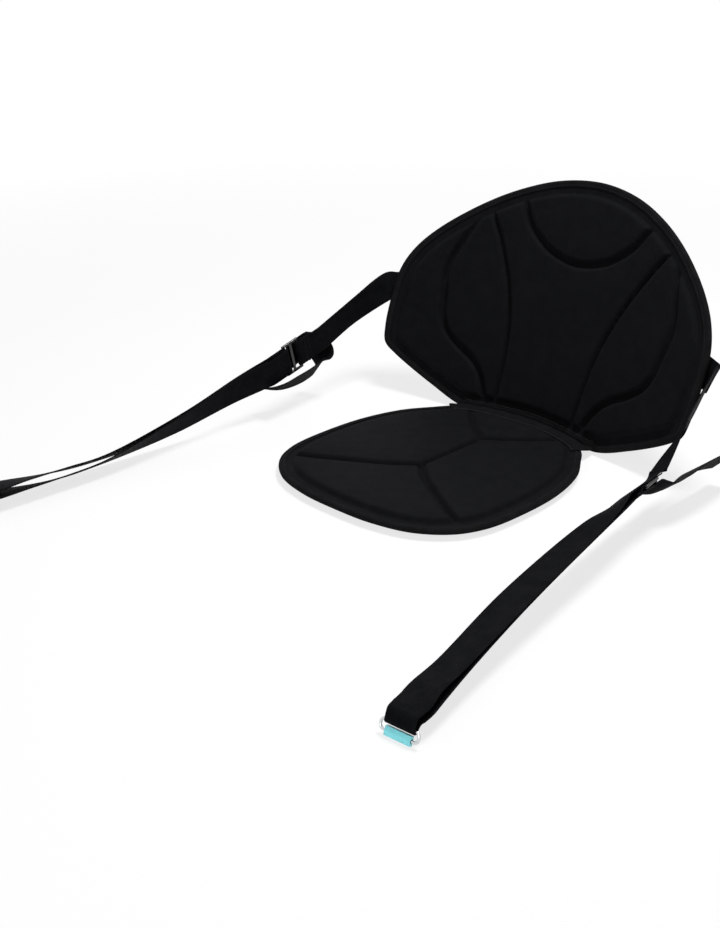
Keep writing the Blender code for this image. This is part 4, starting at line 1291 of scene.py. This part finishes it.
# %% Adjust straps
def adjust_stations(side):
    """Stations of an adjust strap, from its sewn end under the slider to the end of its tail."""
    slider, ring = sliders[side], rings[side]
    front = BAR_SPACING
    hem = [(front + s, -m) for s, m in hem_points()[::-1]]
    hem += bar_turn(front, REACH, RISE, 90, 270, 8)
    hem += [(front + BAR_LEAD, -RISE), (front + SEWN_END, -RISE)]
    stations = [slider.at(s, m) for s, m in hem]

    centre = [(*slider.at(front + SEWN_END + BAR_LEAD, 0.0), RISE, RISE + PLY)]
    centre += [(from_hinge(p), w, STRAP_WIDTH, part, part) for p, w, part in RING_ROUTE[side]]
    across = ring.across * math.copysign(1.0, RING_ROUTE[side][-1][1][0])
    facing = np.cross(across, ring.down)
    bend = WIRE_RADIUS + BAR_CLEAR + STRAP_THICKNESS / 2
    centre.append((ring.at(0.0, -RING_LEAD), across, RING_STRAP_WIDTH, 1.5 * bend, 1.5 * bend))
    centre.append((ring.at(0.0, -STRAP_THICKNESS), across, RING_STRAP_WIDTH, bend, bend))
    centre = route(centre, STRAP_STEP / 2)
    places = np.array([c[0] for c in centre])
    out = unit(np.cross([c[1] for c in centre], np.gradient(places, axis=0)))
    out[-1] = facing
    stations += [(c[0] - n * c[3], c[1], c[2]) for c, n in zip(centre, out)]
    for turn in np.radians(np.arange(0, 181, 30)):
        spot = ring.at(0.0, bend * math.sin(turn)) - facing * bend * math.cos(turn)
        stations.append((spot, across, RING_STRAP_WIDTH))
    stations += [(c[0] + n * c[4], c[1], c[2]) for c, n in zip(centre, out)][::-1]

    around, over = REACH + PLY + BAR_CLEAR, RISE + PLY
    local = [(front + SEWN_END, over), (front + BAR_LEAD, over)]
    local += bar_turn(front, around, over, 90, 180, 4)
    local += [(around * 0.8, -RISE * 0.75), (BAR_DEPTH / 4, -RISE - GAP), (-BAR_DEPTH, -RISE - 2 * GAP)]
    local += [(REACH - BAR_SPACING, -over), (-BAR_SPACING, -over), (-BAR_SPACING - BAR_LEAD, -over)]
    stations += [slider.at(s, m) for s, m in local]
    tail = [slider.at(-BAR_SPACING - 2 * BAR_LEAD, -over)]
    tail += [(from_hinge(p), w, STRAP_WIDTH) for p, w in TAIL_ROUTE[side]]
    return stations + route(tail, STRAP_STEP / 2)


for side in SIDES:
    web(side + "_adjust_webbing", adjust_stations(side), side + "_adjust_strap")

# %% [markdown]
# ## The anchor patches
# Behind each wing a patch of cloth spreads the pull of the strap over the cover. The strap's end is
# sewn to it with a box and a cross. A patch follows the same rule as the cover under it, only turned
# to the strap's slope.

# %% Anchor patches
PATCH_SEAM = (0.026, 0.022)
STRAP_SEAM = (0.022, 0.015)


def on_patch(sign, a, b, n):
    """Place on the patch: a along the strap, b across it, n from the cover."""
    turn = -sign * PATCH_TURN
    x = a * math.cos(turn) - b * math.sin(turn) + sign * (BACKREST_WIDTH / 2 - PATCH_FROM_EDGE)
    y = a * math.sin(turn) + b * math.cos(turn) + PATCH_UP
    return backrest_place(x, y, n)


def sew_on_patch(name, sign, corners, n):
    """Stitches along straight runs between corners on the patch."""
    line = []
    for (a0, b0), (a1, b1) in zip(corners[:-1], corners[1:]):
        count = max(2, round(math.hypot(a1 - a0, b1 - b0) / 0.004))
        shares = np.linspace(0, 1, count, endpoint=False)
        line += [(a0 + (a1 - a0) * t, b0 + (b1 - b0) * t) for t in shares]
    line.append(corners[-1])
    a, b = np.array(line).T
    here = on_patch(sign, a, b, np.full(len(a), n))
    above = on_patch(sign, a, b, np.full(len(a), n - PROBE))
    sew(name, here, unit(above - here), pitch=0.0042)


def box(a, b):
    """Corners of a box seam, from the first one back to it."""
    return [(-a, -b), (a, -b), (a, b), (-a, b), (-a, -b)]


for side, sign in SIDES.items():
    a, b = np.meshgrid(np.linspace(-PATCH_LENGTH / 2, PATCH_LENGTH / 2, 24),
                       np.linspace(-PATCH_WIDTH / 2, PATCH_WIDTH / 2, 22), indexing="ij")
    b = b * (1 - 0.08 * np.clip(np.abs(a) / (PATCH_LENGTH / 2) - 0.85, 0, 1) / 0.15)
    grid = on_patch(sign, a, b, np.full(a.shape, -GAP - PATCH_THICKNESS / 2))
    patch, _ = sheet_from_grid(side + "_patch_cloth", grid, PATCH_THICKNESS, backing_cloth,
                               side + "_anchor_patch", thin_edges=False)
    sew_on_patch(side + "_patch_stitches", sign, box(*PATCH_SEAM), -GAP - PATCH_THICKNESS)
    strap_top = -(2 * GAP + PATCH_THICKNESS + STRAP_THICKNESS)
    u, v = STRAP_SEAM
    sew_on_patch(side + "_anchor_stitches", sign, box(u, v) + [(u, v), (u, -v), (-u, v)], strap_top)

# %% [markdown]
# ## Seams of the turned ends
# Two rows of stitches across the webbing hold each turned end shut beside the slider.

# %% Seams of the turned ends
def sew_across(name, slider, s, m, lean):
    """Row of stitches across the webbing by a slider."""
    width = np.linspace(-0.44, 0.44, 12)[:, None] * STRAP_WIDTH
    here = slider.at(s, m)[0] + slider.across * width
    sew(name, here, np.tile(slider.up * lean, (len(here), 1)), pitch=0.0036)


for side, slider in sliders.items():
    top = RISE + STRAP_THICKNESS / 2
    for k, s in enumerate((-BAR_SPACING - 0.010, -BAR_SPACING - 0.017)):
        sew_across(f"{side}_anchor_hem_stitches_{k + 1}", slider, s, top, 1.0)
        sew_across(f"{side}_adjust_hem_stitches_{k + 1}", slider, -s, -top, -1.0)

# %% [markdown]
# ## The sliders
# A three-bar slider is one glossy moulding: two rails and three bars, with two windows that the
# webbing goes through. It starts as a flat grid whose lines lie on the edges of the windows. The
# window faces are deleted, the rest is drawn up to the thickness, and the edges are rounded.

# %% Rounding and placing
def start_edit(select):
    """Enter edit mode with everything selected or nothing."""
    bpy.ops.object.mode_set(mode="EDIT")
    bpy.ops.mesh.select_all(action=select)


def put_in_frame(piece, middle, x_axis, y_axis, z_axis):
    """Turn a mesh so that its own axes lie along three directions, and move it to its place."""
    turn = Matrix([(x_axis[k], y_axis[k], z_axis[k], middle[k]) for k in range(3)] + [(0, 0, 0, 1)])
    piece.data.transform(turn)
    piece.data.update()


def round_edges(piece, width, segments, bevel_over, smooth_under):
    """Bevel the edges sharper than one angle, and shade smooth those flatter than another."""
    rounding = piece.modifiers.new("rounding", "BEVEL")
    rounding.width = width
    rounding.segments = segments
    rounding.limit_method = "ANGLE"
    rounding.angle_limit = math.radians(bevel_over)
    bpy.ops.object.modifier_apply(modifier="rounding")
    bpy.ops.object.shade_smooth_by_angle(angle=math.radians(smooth_under))


# %% [markdown]
# ## Making a slider
# The grid has 4 by 6 corners, one for each edge of a rail or a bar, so moving its corners is all that
# it takes to give every rail, bar and window its size.

# %% Sliders
def make_slider(side):
    inner = STRAP_WIDTH / 2 + RAIL_CLEAR
    columns = [-inner - RAIL_WIDTH, -inner, inner, inner + RAIL_WIDTH]
    half = BAR_DEPTH / 2
    lines = [bar + edge for bar in (-BAR_SPACING, 0.0, BAR_SPACING) for edge in (-half, half)]
    bpy.ops.mesh.primitive_grid_add(x_subdivisions=3, y_subdivisions=5, size=2.0, location=(0, 0, 0))
    piece = bpy.context.object
    for corner in piece.data.vertices:
        column, line = round((corner.co.x + 1) * 1.5), round((corner.co.y + 1) * 2.5)
        corner.co = (columns[column], lines[line], -BAR_THICKNESS / 2)
    start_edit("DESELECT")
    shape = bmesh.from_edit_mesh(piece.data)
    for face in shape.faces:
        middle = face.calc_center_median()
        in_window = half < abs(middle.y) < BAR_SPACING - half
        face.select_set(in_window and abs(middle.x) < inner)
    bmesh.update_edit_mesh(piece.data)
    bpy.ops.mesh.delete(type="FACE")
    bpy.ops.mesh.select_all(action="SELECT")
    bpy.ops.mesh.extrude_region_move(TRANSFORM_OT_translate={"value": (0, 0, BAR_THICKNESS)})
    bpy.ops.mesh.select_all(action="SELECT")
    bpy.ops.mesh.normals_make_consistent(inside=False)
    bpy.ops.object.mode_set(mode="OBJECT")
    round_edges(piece, width=0.0011, segments=4, bevel_over=40, smooth_under=35)
    piece.name = side + "_slider"
    piece.data.materials.append(slider_plastic)
    slider = sliders[side]
    put_in_frame(piece, slider.middle, slider.across, slider.along, slider.up)
    hand_over(piece, side + "_buckle")
    bpy.ops.object.select_all(action="DESELECT")


for side in SIDES:
    make_slider(side)

# %% [markdown]
# ## The wire rings
# A bright wire is bent to a flat rectangle with round corners. A plane loses its face and keeps its
# edges, the corners are bevelled, and the loop becomes a curve that is given a round section.

# %% Wire rings
def make_ring(side):
    bpy.ops.mesh.primitive_plane_add(size=1.0, location=(0, -RING_DEPTH / 2, 0))
    piece = bpy.context.object
    start_edit("SELECT")
    size = (RING_INSIDE + 2 * WIRE_RADIUS, RING_DEPTH, 1.0)
    bpy.ops.transform.resize(value=size, center_override=(0, -RING_DEPTH / 2, 0))
    bpy.ops.mesh.bevel(offset=RING_CORNER, offset_type="OFFSET", segments=10, affect="VERTICES")
    bpy.ops.mesh.select_all(action="SELECT")
    bpy.ops.mesh.delete(type="ONLY_FACE")
    bpy.ops.object.mode_set(mode="OBJECT")
    bpy.ops.object.convert(target="CURVE")
    piece = bpy.context.object
    piece.data.bevel_depth = WIRE_RADIUS
    piece.data.bevel_resolution = 6
    bpy.ops.object.convert(target="MESH")
    piece = bpy.context.object
    piece.data.transform(piece.matrix_world)
    piece.matrix_world = Matrix.Identity(4)
    bpy.ops.object.shade_smooth()
    piece.name = side + "_wire_ring"
    piece.data.materials.clear()
    piece.data.materials.append(ring_steel)
    ring = rings[side]
    put_in_frame(piece, ring.bar, ring.across, -ring.down, ring.face)
    hand_over(piece, side + "_ring")
    bpy.ops.object.select_all(action="DESELECT")


for side in SIDES:
    make_ring(side)

# %% [markdown]
# ## The sleeves
# A flat teal moulding sits on the ring's outer bar. Its front is folded along the middle, so the
# upper half catches the light and the lower half is darker. A box is cut along the middle, the
# middle line in front is drawn out, and a hole for the wire is bridged from end to end.

# %% Sleeves
SLEEVE_RIDGE = 0.0008
SLEEVE_HOLE = 0.0038
SLEEVE_WALL = 0.0006


def make_sleeve(side):
    bpy.ops.mesh.primitive_cube_add(size=1.0, location=(0, 0, 0))
    piece = bpy.context.object
    start_edit("SELECT")
    bpy.ops.transform.resize(value=(SLEEVE_LENGTH, SLEEVE_HEIGHT, SLEEVE_THICKNESS - SLEEVE_RIDGE),
                             center_override=(0, 0, 0))
    bpy.ops.transform.translate(value=(0, 0, -SLEEVE_RIDGE / 2))
    bpy.ops.mesh.bisect(plane_co=(0, 0, 0), plane_no=(0, 1, 0))
    bpy.ops.mesh.select_all(action="DESELECT")
    shape = bmesh.from_edit_mesh(piece.data)
    for corner in shape.verts:
        corner.select_set(abs(corner.co.y) < 1e-6 and corner.co.z > 0)
    shape.select_flush(True)
    bmesh.update_edit_mesh(piece.data)
    bpy.ops.transform.translate(value=(0, 0, SLEEVE_RIDGE))
    bpy.ops.mesh.select_all(action="DESELECT")
    shape = bmesh.from_edit_mesh(piece.data)
    for face in shape.faces:
        face.select_set(abs(face.normal.x) > 0.9)
    bmesh.update_edit_mesh(piece.data)
    bpy.ops.mesh.dissolve_faces()
    bpy.ops.mesh.inset(thickness=SLEEVE_WALL, use_boundary=True)
    squeeze = SLEEVE_HOLE / (SLEEVE_HEIGHT - 2 * SLEEVE_WALL)
    bpy.ops.transform.resize(value=(1.0, squeeze, 1.0), center_override=(0, 0, 0))
    bpy.ops.mesh.delete(type="ONLY_FACE")
    shape = bmesh.from_edit_mesh(piece.data)
    for edge in shape.edges:
        edge.select_set(edge.is_boundary)
    bmesh.update_edit_mesh(piece.data)
    bpy.ops.mesh.bridge_edge_loops()
    bpy.ops.mesh.select_all(action="SELECT")
    bpy.ops.mesh.normals_make_consistent(inside=False)
    bpy.ops.object.mode_set(mode="OBJECT")
    round_edges(piece, width=0.0003, segments=3, bevel_over=12, smooth_under=30)
    piece.name = side + "_sleeve_moulding"
    piece.data.materials.append(sleeve_plastic)
    ring = rings[side]
    put_in_frame(piece, ring.at(0.0, RING_DEPTH), ring.across, -ring.down, ring.face)
    hand_over(piece, side + "_ring_sleeve")
    bpy.ops.object.select_all(action="DESELECT")


for side in SIDES:
    make_sleeve(side)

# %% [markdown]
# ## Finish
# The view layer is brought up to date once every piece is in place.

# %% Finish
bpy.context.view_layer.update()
